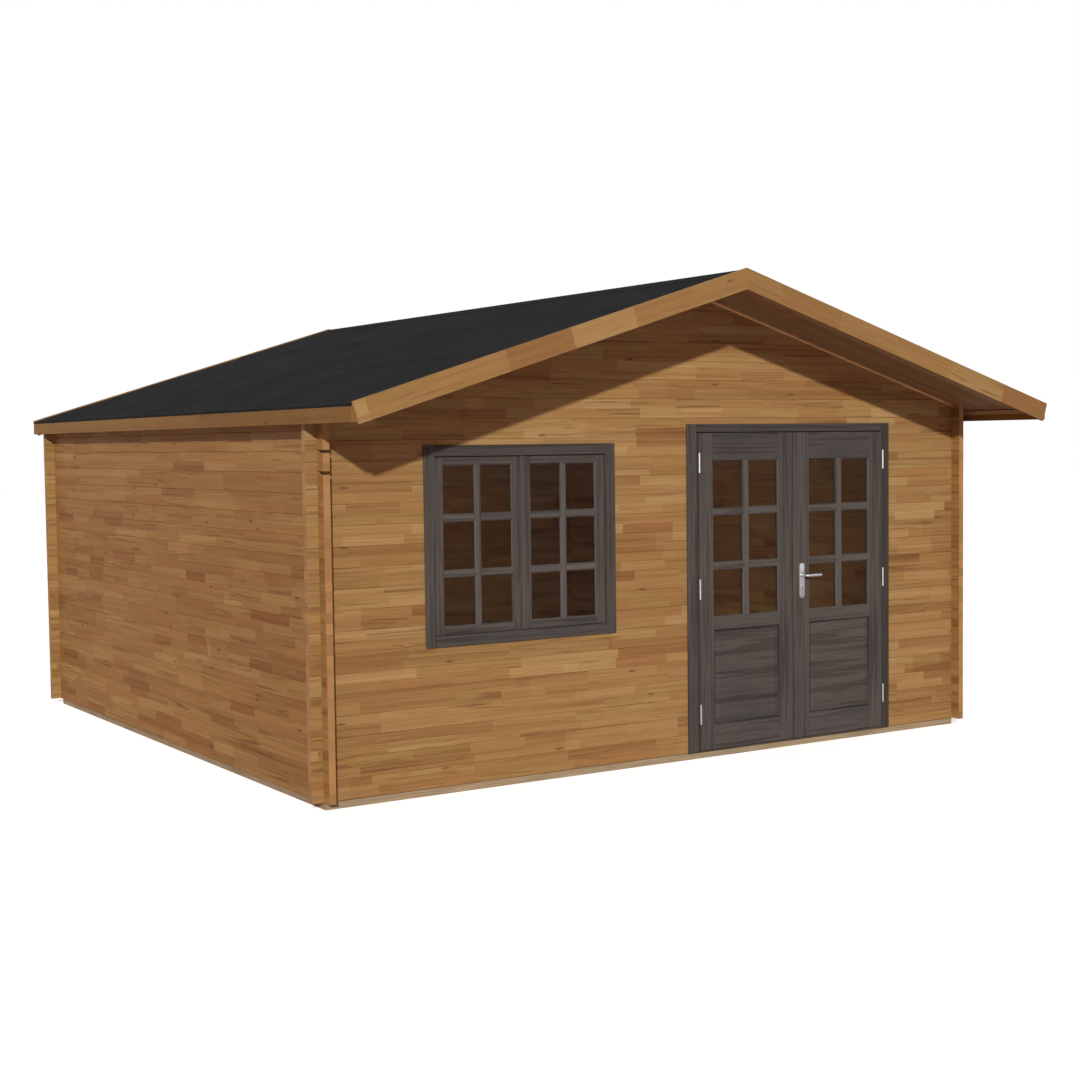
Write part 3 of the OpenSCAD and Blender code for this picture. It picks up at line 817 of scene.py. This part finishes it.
def glaze(wood, x0, x1, z0, z1, y0, y1, bar, glass_y, bead):
    """Two panes across and three high between y0 and y1, with the glass in the middle."""
    pane_w = (x1 - x0 - bar) / 2
    pane_h = (z1 - z0 - 2 * bar) / 3
    wood.tone = BAR_TONE
    for face, deep in ((y0 + 0.003, glass_y - 0.002), (y1 - 0.003, glass_y + 0.002)):
        wood.stick((x0 + pane_w, face, z0), (x0 + pane_w + bar, deep, z1), 2, 0.003)
        for level in (1, 2):
            z = z0 + level * pane_h + (level - 1) * bar
            for column in (0, 1):
                x = x0 + column * (pane_w + bar)
                wood.stick((x, face, z), (x + pane_w, deep, z + bar), 0, 0.003)
        bead_face = face + (deep - face) * 0.15
        for column in (0, 1):
            for level in (0, 1, 2):
                x = x0 + column * (pane_w + bar)
                z = z0 + level * (pane_h + bar)
                wood.moulding(x, x + pane_w, z, z + pane_h, bead_face, deep, bead)
    wood.tone = 1.0


# The tones printed here are set for each kind of stick.
print("stain taken by bars, frames and panels:", BAR_TONE, FRAME_TONE, PANEL_TONE)

# %% [markdown]
# ## Bore for the handle
# The spindle passes right through the stile that carries the lock, so the stile is
# bored before the rest of the leaf is added to it. A Boolean modifier does it, because
# the stile is a plain closed stick, which it cuts cleanly and with its UVs kept.

# %% Bore for the handle
plate_low, plate_high = corners("door_handle_plates")
lever_low, lever_high = corners("door_handle_levers")
LEVER_R = 0.008
STILE_BORE = 0.009
handle_x = (plate_low.x + plate_high.x) / 2
handle_z = lever_high.z - LEVER_R


def circle(x, z, radius, y, sides=24):
    return [(x + radius * cos(2 * pi * k / sides), y, z + radius * sin(2 * pi * k / sides))
            for k in range(sides)]


def drill_for_handle(wood, y_low, y_high):
    """Bores the lock stile, the only stick collected so far, so that the spindle runs free."""
    bit = Lofts()
    bit.loft([circle(handle_x, handle_z, STILE_BORE, y) for y in (y_low - 0.01, y_high + 0.01)])
    stile = new_object("stile", wood.mesh("stile"))
    cutter = new_object("cutter", bit.mesh("cutter"))
    cut = stile.modifiers.new("bore", "BOOLEAN")
    cut.operation = "DIFFERENCE"
    cut.solver = "EXACT"
    cut.object = cutter
    now = bpy.context.evaluated_depsgraph_get()
    drilled = bpy.data.meshes.new_from_object(stile.evaluated_get(now), preserve_all_data_layers=True,
                                              depsgraph=now)
    for helper in (stile, cutter):
        bpy.data.meshes.remove(helper.data)
    wood.bm = bmesh.new()
    wood.bm.from_mesh(drilled)
    wood.uv = wood.bm.loops.layers.uv["grain"]
    wood.tones = wood.bm.faces.layers.float["tone"]
    print("drilled the lock stile:", len(drilled.polygons), "faces")
    bpy.data.meshes.remove(drilled)


print(f"handle at x {handle_x:.3f} m, {handle_z:.3f} m up")

# %% [markdown]
# ## Door leaves
# A framed door has upright stiles, level rails between them, glazing bars and a panel.
# Building them separately gives every joint a fine line, and turns the grain the right
# way in each. The two leaves differ only in the stile that carries the lock.

# %% Door leaves
STILE = 0.108
LOCK_STILE = 0.131
BOTTOM_RAIL = 0.147
PANEL_HEIGHT = 0.591
MIDDLE_RAIL = 0.075
TOP_RAIL = 0.167
DOOR_BAR = 0.037
PANEL_HALF = 0.007
BEAD = 0.008
RAIL_STEP = 0.0004


def door_leaf(side, first_stile):
    low, high = corners(f"{side}_door_leaf")
    glass_low, glass_high = corners(f"{side}_door_glass")
    body = f"{side}_door"
    x0, x1 = low.x + first_stile, high.x - STILE
    panel_z = low.z + BOTTOM_RAIL
    middle_z = panel_z + PANEL_HEIGHT
    glass_z = middle_z + MIDDLE_RAIL
    top_z = high.z - TOP_RAIL
    wood = Lofts()
    wood.stick(low, (x0, high.y, high.z), 2)
    if side == "right":
        drill_for_handle(wood, low.y, high.y)
    wood.stick((x1, low.y, low.z), high, 2)
    for z0, z1 in ((low.z, panel_z), (middle_z, glass_z), (top_z, high.z)):
        wood.stick((x0, low.y + RAIL_STEP, z0), (x1, high.y - RAIL_STEP, z1), 0)
    glaze(wood, x0, x1, glass_z, top_z, low.y, high.y, DOOR_BAR, (glass_low.y + glass_high.y) / 2, BEAD)
    add_piece(f"{side}_door_joinery", wood.mesh("joinery"), stain, body, "stained_wood",
              f"{side}_door_leaf")
    middle_y = (low.y + high.y) / 2
    panel = Lofts()
    panel.tone = PANEL_TONE
    panel.fielded_panel(x0, x1, panel_z, middle_z, middle_y - PANEL_HALF, middle_y + PANEL_HALF,
                        0.022, 0.018, 0.008)
    # painted shade: the mouldings round the panel are darkened, for the shade line of its recess
    panel.tone = PANEL_MOULDING_PAINTED_SHADE
    for face, deep in ((low.y + 0.002, middle_y - PANEL_HALF),
                       (high.y - 0.002, middle_y + PANEL_HALF)):
        panel.moulding(x0, x1, panel_z, middle_z, face, deep, 0.012)
    add_piece(f"{side}_door_fielded_panel", panel.mesh("panel"), stain, body, "stained_wood",
              f"{side}_door_panel")


door_leaf("left", STILE)
door_leaf("right", LOCK_STILE)

# %% [markdown]
# ## Frames in the log wall
# A frame clasps the logs: a casing outside, a casing inside, and a lining between them
# that ends in a stop for the leaf to close on. Uprights run the full height, with the
# head and the sill between them.

# %% Door frame and window frame
LOG = 0.040
LAP = 0.020


def opening_frame(name, low, high, side, sill, head, stop, stop_y, sill_lap, right_tone, *replaced):
    wood = Lofts()
    inner_y = front_y + LOG
    for edge, inward in ((low.x, 1), (high.x, -1)):
        wood.tone = FRAME_TONE if inward > 0 else right_tone
        lining, reach = edge + inward * side, edge + inward * (side + stop)
        wood.stick((edge, low.y, low.z), (lining, front_y, high.z), 2, 0.002)
        wood.stick((edge, inner_y, low.z), (lining, high.y, high.z), 2, 0.002)
        wood.stick((edge + inward * LAP, front_y, low.z + sill_lap), (lining, inner_y, high.z - LAP), 2)
        wood.stick((lining, stop_y, low.z + sill), (reach, high.y, high.z - head), 2)
    wood.tone = FRAME_TONE
    left, right = low.x + side, high.x - side
    for z0, z1, lap, toward in ((low.z, low.z + sill, sill_lap, 1), (high.z, high.z - head, LAP, -1)):
        wood.stick((left, low.y, z0), (right, front_y, z1), 0, 0.002)
        wood.stick((left, inner_y, z0), (right, high.y, z1), 0, 0.002)
        wood.stick((left, front_y, z0 + toward * lap), (right, inner_y, z1), 0)
        wood.stick((left + stop, stop_y, z1), (right - stop, high.y, z1 + toward * stop), 0)
    add_piece(name, wood.mesh(name), stain, "root", "stained_wood", *replaced)


leaf_low = corners("left_door_leaf")[0]
casement_low, casement_high = corners("window_casement_left")
# The door frame's right upright is made darker than the rest of the frame.
opening_frame("door_frame_joinery", *corners("door_jambs"), 0.074, 0.008, 0.050, 0.018,
              leaf_low.y + 0.045, 0, 0.64, "door_jambs", "door_head", "door_threshold")
opening_frame("window_frame_joinery", *corners("window_frame"), 0.065, 0.062, 0.062, 0.015,
              casement_high.y, LAP, FRAME_TONE, "window_frame")

# %% [markdown]
# ## Casements
# Both casements are alike; the right one also carries the strip that covers the joint
# between them. They have no hinges to see from outside, so they stay shut.

# %% Casements
CASEMENT_STILE = 0.059
CASEMENT_RAIL = 0.044
WINDOW_BAR = 0.032
STRIP_WIDTH = 0.030
STRIP_LAP = 0.010
pane_y = sum(corner.y for corner in corners("window_glass")) / 2


def casement(side, strip):
    low, high = corners(f"window_casement_{side}")
    wood = Lofts()
    if strip:
        strip_y = casement_low.y
        wood.stick(low, (low.x + STRIP_WIDTH, strip_y, high.z), 2, 0.003)
        low = Vector((low.x + STRIP_LAP, strip_y, low.z))
    x0, x1 = low.x + CASEMENT_STILE, high.x - CASEMENT_STILE
    z0, z1 = low.z + CASEMENT_RAIL, high.z - CASEMENT_RAIL
    wood.stick(low, (x0, high.y, high.z), 2)
    wood.stick((x1, low.y, low.z), high, 2)
    for bottom, top in ((low.z, z0), (z1, high.z)):
        wood.stick((x0, low.y + RAIL_STEP, bottom), (x1, high.y - RAIL_STEP, top), 0)
    glaze(wood, x0, x1, z0, z1, low.y, high.y, WINDOW_BAR, pane_y, 0.007)
    add_piece(f"casement_{side}_joinery", wood.mesh("casement"), stain, "root", "stained_wood",
              f"window_casement_{side}")


casement("left", strip=False)
casement("right", strip=True)

# %% [markdown]
# ## One tree for everything in rows
# Roof boards, floor boards, nails and screws are all one shape set out in a row. The
# modifier takes its own object's mesh as that shape, so a row of boards and a row of
# nails need nothing but different numbers. A little random shift keeps the nails from
# looking machined.


# %% Geometry Nodes: rows
def make_rows_tree():
    tree = bpy.data.node_groups.new("rows", "GeometryNodeTree")
    made = {}
    for title, kind in (("Geometry", "Geometry"), ("Count", "Int"), ("Step", "Vector"),
                        ("Shift", "Vector"), ("Seed", "Int"), ("Material", "Material")):
        made[title] = tree.interface.new_socket(title, in_out="INPUT",
                                                socket_type=f"NodeSocket{kind}")
    tree.interface.new_socket("Geometry", in_out="OUTPUT", socket_type="NodeSocketGeometry")
    given = tree.nodes.new("NodeGroupInput").outputs
    out = tree.nodes.new("NodeGroupOutput").inputs

    def node(kind, **links):
        new = tree.nodes.new(kind)
        for title, value in links.items():
            plug(tree, new.inputs[title.replace("_", " ")], value)
        return new

    row = node("GeometryNodeMeshLine", Count=given["Count"], Offset=given["Step"])
    copies = node("GeometryNodeInstanceOnPoints", Points=row.outputs[0],
                  Instance=given["Geometry"])
    spread = node("ShaderNodeVectorMath")
    spread.operation = "SCALE"
    plug(tree, spread.inputs[0], given["Shift"])
    spread.inputs["Scale"].default_value = -1.0
    luck = tree.nodes.new("FunctionNodeRandomValue")
    luck.data_type = "FLOAT_VECTOR"
    plug(tree, luck.inputs["Min"], spread.outputs[0])
    plug(tree, luck.inputs["Max"], given["Shift"])
    plug(tree, luck.inputs["Seed"], given["Seed"])
    moved = node("GeometryNodeTranslateInstances", Instances=copies.outputs[0],
                 Translation=luck.outputs["Value"])
    real = node("GeometryNodeRealizeInstances", Geometry=moved.outputs[0])
    dressed = node("GeometryNodeSetMaterial", Geometry=real.outputs[0], Material=given["Material"])
    plug(tree, out["Geometry"], dressed.outputs[0])
    return tree, {title: socket.identifier for title, socket in made.items()}


rows_tree, rows_socket = make_rows_tree()


def in_rows(mesh, material, count, step, shift=(0, 0, 0), seed=1):
    """A row of copies of the mesh, as one plain mesh."""
    holder = new_object("shape_in_rows", mesh)
    modifier = holder.modifiers.new("rows", "NODES")
    modifier.node_group = rows_tree
    for title, value in (("Count", count), ("Step", [float(v) for v in step]),
                         ("Shift", [float(v) for v in shift]), ("Seed", seed),
                         ("Material", material)):
        modifier[rows_socket[title]] = value
    view = bpy.context.evaluated_depsgraph_get()
    result = bpy.data.meshes.new_from_object(holder.evaluated_get(view))
    bpy.data.objects.remove(holder)
    return result


def joined(name, parts):
    """Several meshes as one; the separate ones are removed."""
    bm = bmesh.new()
    for part in parts:
        bm.from_mesh(part)
        bpy.data.meshes.remove(part)
    mesh = bpy.data.meshes.new(name)
    bm.to_mesh(mesh)
    bm.free()
    return mesh


print("rows tree inputs:", sorted(rows_socket))

# %% [markdown]
# ## Roof boards
# The boards run from the ridge to the eave, tongued and grooved, with a small V on the
# underside where two meet. One board is drawn and the rows tree lays the rest.


# %% Roof boards
def on_slope(sign, distance, height, y):
    """A point down the slope from the ridge of the boards' upper face, and above it."""
    x = distance * cos(PITCH) + height * sin(PITCH)
    z = deck_high.z - distance * sin(PITCH) + height * cos(PITCH)
    return (sign * x, y, z)


def roof_board_mesh(sign):
    vee = 0.002
    low_edge = deck_high.x / cos(PITCH)
    y0, y1 = deck_low.y, deck_low.y + roof_board
    outline = [(0, y0), (0, y1), (-DECK + vee, y1), (-DECK, y1 - vee),
               (-DECK, y0 + vee), (-DECK + vee, y0)]
    board = Lofts()
    # plumb cuts: at the ridge the boards of both sides meet on x = 0
    rings = [[on_slope(sign, run - height * SLOPE, height, y) for height, y in outline]
             for run in (0, low_edge)]
    board.loft(rings, runs=[(0, low_edge)])
    return board.mesh("roof_board")


for side, sign, wood in (("left", -1, roof_wood_left), ("right", 1, roof_wood_right)):
    boards = in_rows(roof_board_mesh(sign), wood, ROOF_BOARDS, (0, roof_board, 0))
    add_piece(f"roof_planks_{side}", boards, None, "root", "roof_wood", f"roof_boards_{side}")

# %% [markdown]
# ## Battens at the eaves
# A batten under the roof boards stiffens each eave board, and a small block behind each
# end of a bargeboard closes the corner that its square cut leaves open.

# %% Eave battens
eave_low = corners("eave_boards")[0]
EAVE_BOARD = 0.018
BATTEN = 0.016
BATTEN_H = 0.026
BLOCK = 0.024
BLOCK_WIDTH = 0.026
inner_x = roof_x - EAVE_BOARD
for side, sign in (("left", -1), ("right", 1)):
    run = (inner_x - BATTEN) / cos(PITCH) + DECK * SLOPE
    batten_top = on_slope(1, run, -DECK - 0.0002, 0)[2] - BATTEN * SLOPE
    batten = Lofts()
    batten.stick((sign * (inner_x - BATTEN), deck_low.y, batten_top - BATTEN_H),
                 (sign * inner_x, deck_high.y, batten_top), 1)
    add_piece(f"eave_batten_{side}", batten.mesh("batten"), painted_highlight_batten_wood, "root", "roof_wood")
    block = Lofts()
    for y0, y1 in ((deck_low.y, deck_low.y + BLOCK), (deck_high.y - BLOCK, deck_high.y)):
        block.stick((sign * (inner_x - BLOCK_WIDTH), y0, eave_low.z + 0.002),
                    (sign * inner_x, y1, batten_top - BATTEN_H), 2)
    add_piece(f"eave_corner_blocks_{side}", block.mesh("blocks"), eave_wood, "root", "roof_wood")

# %% [markdown]
# ## Floor boards
# The same tree lays the floor, from wall to wall, with the small V upwards.

# %% Floor boards
VEE = 0.002
plank = Lofts()
plank_outline = [(floor_low.x, floor_low.z), (floor_low.x + floor_board, floor_low.z),
                 (floor_low.x + floor_board, floor_high.z - VEE),
                 (floor_low.x + floor_board - VEE, floor_high.z),
                 (floor_low.x + VEE, floor_high.z), (floor_low.x, floor_high.z - VEE)]
plank.loft([[(x, y, z) for x, z in plank_outline] for y in (floor_low.y, floor_high.y)],
           runs=[(floor_low.y, floor_high.y)])
planks = in_rows(plank.mesh("floor_board"), floor_wood, FLOOR_BOARDS, (floor_board, 0, 0))
add_piece("floor_planks", planks, None, "root", "floor_wood", "floor_boards")

# %% [markdown]
# ## Roofing felt
# Felt comes in rolls a metre wide. They are laid along the roof from the eave up, each
# lapping over the one below, and a last strip is folded over the ridge. The lowest edge
# is turned down over the eave board. Modelling the laps gives the roof its steps; one
# flat sheet would look like paint.

# %% Felt sheets
SHEET = 0.0017
FELT_LAP = 0.080
RIDGE_STRIP = 0.160
RIDGE_GAP = 0.012
SHEET_GAP = 0.0001
eave_run = roof_x / cos(PITCH)
sheet_run = (eave_run - 0.05) / 3
LIFT = 0.0001


def felt_sheet(felts, sign, start, stop, laps_below):
    """One width of felt from start down to stop; it rises over the sheet below it."""
    rise = LIFT + (SHEET if laps_below else 0)
    ramp_from = stop - FELT_LAP - 0.03 if laps_below else stop - 0.05
    path = [(start, LIFT), (ramp_from, LIFT), (ramp_from + 0.02, rise), (stop, rise)]
    outline = path + [(run, height + SHEET) for run, height in reversed(path)]
    ends = (deck_low.y, deck_high.y)
    rings = [[on_slope(sign, max(run, 0), height, y) for run, height in outline] for y in ends]
    felts.loft(rings)


for side, sign in (("left", -1), ("right", 1)):
    sheets = Lofts()
    for n in range(3):
        begin = max(n * sheet_run - FELT_LAP, RIDGE_GAP)
        end = min((n + 1) * sheet_run, eave_run) if n < 2 else eave_run - 0.001
        felt_sheet(sheets, sign, begin, end, laps_below=n < 2)
    deck_edge = on_slope(1, eave_run, 0, 0)[2]
    sheets.stick((sign * (roof_x - SHEET), deck_low.y, deck_edge - LIP),
                 (sign * roof_x, deck_high.y, deck_edge + 0.0012), 1, 0.0004)
    # the ridge strip's half on this side
    top = LIFT + SHEET + SHEET_GAP
    strip = [(0, top), (RIDGE_STRIP, top), (RIDGE_STRIP, top + SHEET), (0, top + SHEET)]
    for i, (run, height) in enumerate(strip):
        if run == 0:
            strip[i] = (-height * SLOPE, height)
    sheets.loft([[on_slope(sign, run, height, y) for run, height in strip]
                 for y in (deck_low.y, deck_high.y)])
    add_piece(f"felt_sheets_{side}", sheets.mesh("felt"), felt, "root", "roof_felt",
              f"roof_felt_{side}")


# %% [markdown]
# ## Felt nails
# Clout nails with broad flat heads hold the felt along the eave and along every lap. A
# head has only eight sides, because there are several hundred.


# %% Felt nails
def nail_head(sign, run, height, y, radius=0.0048):
    steps = ((radius, 0.0), (radius, 0.0006), (radius * 0.55, 0.0011))
    head = Lofts()
    rings = []
    for r, up in steps:
        rings.append([on_slope(sign, run + r * cos(pi * k / 4), height + up, y + r * sin(pi * k / 4))
                      for k in range(8)])
    head.loft(rings)
    return head.mesh("nail")


NAIL_STEP = 0.0895
NAIL_IN = 0.020
NAIL_IN_AT_EAVE = 0.018
nail_count = int((deck_high.y - deck_low.y - 0.06) / NAIL_STEP) + 1
nail_lines = [(eave_run - NAIL_IN_AT_EAVE, LIFT + SHEET), (sheet_run - NAIL_IN, LIFT + 2 * SHEET),
              (2 * sheet_run - NAIL_IN, LIFT + 2 * SHEET),
              (RIDGE_STRIP - NAIL_IN, LIFT + 2 * SHEET + SHEET_GAP)]
for side, sign in (("left", -1), ("right", 1)):
    nails = []
    for number, (run, height) in enumerate(nail_lines):
        first = deck_low.y + 0.03 + 0.011 * number
        nails.append(in_rows(nail_head(sign, run, height, first), dark_nails, nail_count,
                             (0, NAIL_STEP, 0), shift=(0, 0.006, 0), seed=number))
    add_piece(f"felt_nails_{side}", joined("felt_nails", nails), dark_nails, "root", "steel")

# %% [markdown]
# ## Handle
# The plate is a stadium with an eased edge, a collar for the lever, the face of a
# profile cylinder and two screws. The lever is a round bar bent once. Both are on the
# outside and on the inside of the leaf. Plates, collars and stile are bored, so that the
# lever's necks and the spindle between them turn without touching.

# %% Handle plates
right_low, right_high = corners("right_door_leaf")
PLATE_T = 0.007
NECK = 0.0075
NECK_BORE = NECK + 0.0003
plate_r = (plate_high.x - plate_low.x) / 2
CYLINDER_Z = handle_z - 0.072
TAIL_HALF = 0.0051
TAIL_DROP = 0.0245
COLLAR_SHADE_RING_R = 0.0145


def stadium(half_width, bottom, top, y, steps=12, beside=()):
    """Points round a plate with round ends; bottom and top are its lowest and highest points.
    beside lists heights, from high to low, of more points on its two straight sides."""
    points = []
    for centre_z, turn in ((top - half_width, 0), (bottom + half_width, pi)):
        for k in range(steps + 1):
            angle = turn + pi * k / steps
            points.append((handle_x + half_width * cos(angle), y, centre_z + half_width * sin(angle)))
        side = -1 if turn == 0 else 1
        points += [(handle_x + side * half_width, y, z) for z in beside[::-side]]
    return points


def bore_edge(outline):
    """The bore's edge in a plate: one point in the direction of each point of the outline."""
    centre = Vector((handle_x, outline[0][1], handle_z))
    return [centre + (Vector(point) - centre).normalized() * NECK_BORE for point in outline]


def washer(lofts, steps, face, out):
    """Turned ring round the lever's neck: an outer profile, closed along the bore."""
    profile = [(NECK_BORE, steps[0][1]), *steps, (NECK_BORE, steps[-1][1])]
    lofts.loft([circle(handle_x, handle_z, r, face + out * depth) for r, depth in profile],
               cyclic=True)


round_the_bore = [handle_z + plate_r * tan(radians(angle)) for angle in range(60, -61, -15)]
metal = Lofts()
painted_shade_marks = Lofts()
for face, out in ((right_low.y, -1), (right_high.y, 1)):
    eased = ((0, 0), (0, 0.0052), (0.0007, 0.0064), (0.0022, PLATE_T))
    outlines = [stadium(plate_r - inset, plate_low.z + inset, plate_high.z - inset,
                        face + out * depth, beside=round_the_bore) for inset, depth in eased]
    metal.loft([*outlines, bore_edge(outlines[-1]), bore_edge(outlines[0])], cyclic=True)
    collar = ((0.0128, PLATE_T - 0.001), (0.0128, PLATE_T + 0.0016), (0.0118, PLATE_T + 0.0026),
              (0.0095, PLATE_T + 0.0028))
    washer(metal, collar, face, out)
    # painted shade: a thin near-black ring round the collar, for the shade where collar meets plate
    washer(painted_shade_marks, ((COLLAR_SHADE_RING_R, PLATE_T - 0.001), (COLLAR_SHADE_RING_R, PLATE_T + 0.0004)), face, out)
    barrel = ((0.0085, PLATE_T - 0.001), (0.0085, PLATE_T + 0.0016), (0.0079, PLATE_T + 0.002))
    metal.loft([circle(handle_x, CYLINDER_Z, r, face + out * depth) for r, depth in barrel])
    tail = ((0, PLATE_T - 0.001), (0, PLATE_T + 0.0016), (0.0006, PLATE_T + 0.002))
    metal.loft([stadium(TAIL_HALF - inset, CYLINDER_Z - TAIL_DROP + inset, CYLINDER_Z + 0.002,
                        face + out * depth) for inset, depth in tail])
    # painted shade: a near-black strip for the shade inside the cylinder's keyway
    painted_shade_marks.stick((handle_x - 0.0008, face + out * (PLATE_T + 0.0015), CYLINDER_Z - 0.0045),
                (handle_x + 0.0008, face + out * (PLATE_T + 0.00212), CYLINDER_Z + 0.0045), 2, 0.0002)
add_piece("handle_plates", metal.mesh("plates", 35), steel, "right_door", "steel",
          "door_handle_plates")
add_piece("keyways_painted_shade", painted_shade_marks.mesh("keyways_painted_shade"), painted_shade_steel, "right_door", "steel")


# %% [markdown]
# ## Plate screws
# Each plate is held by two small domed screws, near its ends.

# %% Plate screws
def screw_head(face, out, z):
    head = Lofts()
    dome = ((0.0034, PLATE_T - 0.0004), (0.0034, PLATE_T + 0.0002), (0.0028, PLATE_T + 0.0009),
            (0.0014, PLATE_T + 0.0013))
    head.loft([circle(handle_x, z, r, face + out * depth, 12) for r, depth in dome])
    return head.mesh("screw", 40)


SCREW_IN = 0.013
screw_gap = plate_high.z - plate_low.z - 2 * SCREW_IN
screws = [in_rows(screw_head(face, out, plate_low.z + SCREW_IN), screw_steel, 2, (0, 0, screw_gap))
          for face, out in ((right_low.y, -1), (right_high.y, 1))]
add_piece("plate_screws", joined("plate_screws", screws), screw_steel, "right_door", "steel")

# %% [markdown]
# ## Levers
# A lever is lofted along a path: straight out of the plate, round a bend, then along the
# door, a little thicker in the grip and rounded off at its end.

# %% Levers
GRIP = 0.0096
SPINDLE_R = 0.004
BEND = 0.016
lever_end = lever_high.x
levers = Lofts()
for face, out, tip in ((right_low.y, -1, lever_low.y), (right_high.y, 1, lever_high.y)):
    reach = abs(tip - face) - LEVER_R
    path = [((0, PLATE_T + 0.0003), NECK), ((0, reach - BEND), NECK)]
    for k in range(1, 8):
        turn = pi / 2 * k / 8
        spot = (BEND * (1 - cos(turn)), reach - BEND * (1 - sin(turn)))
        path.append((spot, NECK + (GRIP - NECK) * k / 8))
    length = lever_end - handle_x
    path += [((BEND, reach), GRIP), ((length * 0.6, reach), GRIP * 1.02),
             ((length - 0.008, reach), GRIP), ((length - 0.003, reach), GRIP * 0.86),
             ((length - 0.0007, reach), GRIP * 0.5)]
    rings = []
    for i, ((dx, dy), radius) in enumerate(path):
        before, after = path[max(i - 1, 0)][0], path[min(i + 1, len(path) - 1)][0]
        tangent = Vector((after[0] - before[0], out * (after[1] - before[1]), 0)).normalized()
        sideways = Vector((-tangent.y, tangent.x, 0))
        centre = Vector((handle_x + dx, face + out * dy, handle_z))
        rings.append([centre + sideways * (radius * cos(pi * k / 10))
                      + Vector(Z) * (radius * sin(pi * k / 10)) for k in range(20)])
    levers.loft(rings)
spindle_ends = (right_low.y - PLATE_T - 0.004, right_high.y + PLATE_T + 0.004)
levers.loft([circle(handle_x, handle_z, SPINDLE_R, y, 12) for y in spindle_ends])
add_piece("handle_levers", levers.mesh("levers", 50), steel, "door_handle", "steel",
          "door_handle_levers")

# %% [markdown]
# ## Ground, sky and sun
# The cabin stands on a plain pale ground. A low sun from the front left lights both
# visible walls and throws the roof's shadow high on them. Camera rays see the ground
# and the sky a little brighter than they light the cabin, which keeps the surroundings
# white without washing out the wood. What the ground and the sky throw back is a little
# pink, because red brown wood in the shade turns olive under plain grey light. A soft
# lamp inside lets the panes show the room.


# %% Ground and light
def ground_material():
    material, tree, shader = new_material("pale_ground")
    shader.inputs["Roughness"].default_value = 1.0
    shader.inputs["Specular IOR Level"].default_value = 0.0
    shader.inputs["Emission Color"].default_value = (1, 1, 1, 1)
    rays = tree.nodes.new("ShaderNodeLightPath").outputs
    seen = math(tree, "MAXIMUM", rays["Is Camera Ray"], rays["Is Transmission Ray"])
    plug(tree, shader.inputs["Emission Strength"], times(tree, seen, GROUND_GLOW))
    plug(tree, shader.inputs["Base Color"],
         blend_colour(tree, "MIX", seen, GROUND_TINT, grey(0.88)))
    return material


GROUND_GLOW = 0.62
GROUND_TINT = (0.88, 0.76, 0.83)
SKY_LIGHT = 0.25
SUN_STRENGTH = 2.9
SKY_TINT = (1.0, 0.80, 0.79)
ROOM_WATTS = 24.0
ROOM_COLOUR = (1.0, 0.78, 0.66)
ROOM_LAMP_HEIGHT = 1.7
SUN_TRAVEL = Vector((0.492, 0.795, -0.318))

bm = bmesh.new()
bmesh.ops.create_grid(bm, x_segments=1, y_segments=1, size=60)
ground_mesh = bpy.data.meshes.new("ground")
bm.to_mesh(ground_mesh)
bm.free()
ground_mesh.materials.append(ground_material())
ground = new_object("ground", ground_mesh)
ground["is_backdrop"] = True

world = bpy.data.worlds.new("sky")
bpy.context.scene.world = world
world.use_nodes = True
sky = world.node_tree
rays = sky.nodes.new("ShaderNodeLightPath").outputs
direct = math(sky, "MAXIMUM", rays["Is Camera Ray"], rays["Is Transmission Ray"])
seen = math(sky, "MAXIMUM", direct, rays["Is Glossy Ray"])
background = sky.nodes["Background"]
plug(sky, background.inputs["Color"], blend_colour(sky, "MIX", seen, SKY_TINT, (1.0, 1.0, 1.0)))
plug(sky, background.inputs["Strength"], math(sky, "MULTIPLY_ADD", seen, 1 - SKY_LIGHT, SKY_LIGHT))

sun_data = bpy.data.lights.new("sun", "SUN")
sun_data.energy = SUN_STRENGTH
sun_data.angle = radians(1.5)
sun = new_object("sun", sun_data)
sun.rotation_euler = SUN_TRAVEL.to_track_quat("-Z", "Y").to_euler()

room_data = bpy.data.lights.new("room_light", "POINT")
room_data.energy = ROOM_WATTS
room_data.color = ROOM_COLOUR
room_data.shadow_soft_size = 0.5
room = new_object("room_light", room_data)
room.location = (0, (front_y + back_y) / 2, ROOM_LAMP_HEIGHT)
room.visible_camera = False
room.visible_transmission = False
room.visible_glossy = False
print("sun from the front left, sky at", SKY_LIGHT)

# %% [markdown]
# ## Sizes
# The box of the imported model and the box of what is shown here are printed side by
# side. The pieces made here have to stay inside the box of the imported model.

# %% Sizes
boxes = [[list(corner) for corner in box] for box in (cad_box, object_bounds())]
for title, (low, high) in zip(("CAD box", "visual box"), boxes):
    print(title, [round(v, 4) for v in low], [round(v, 4) for v in high])
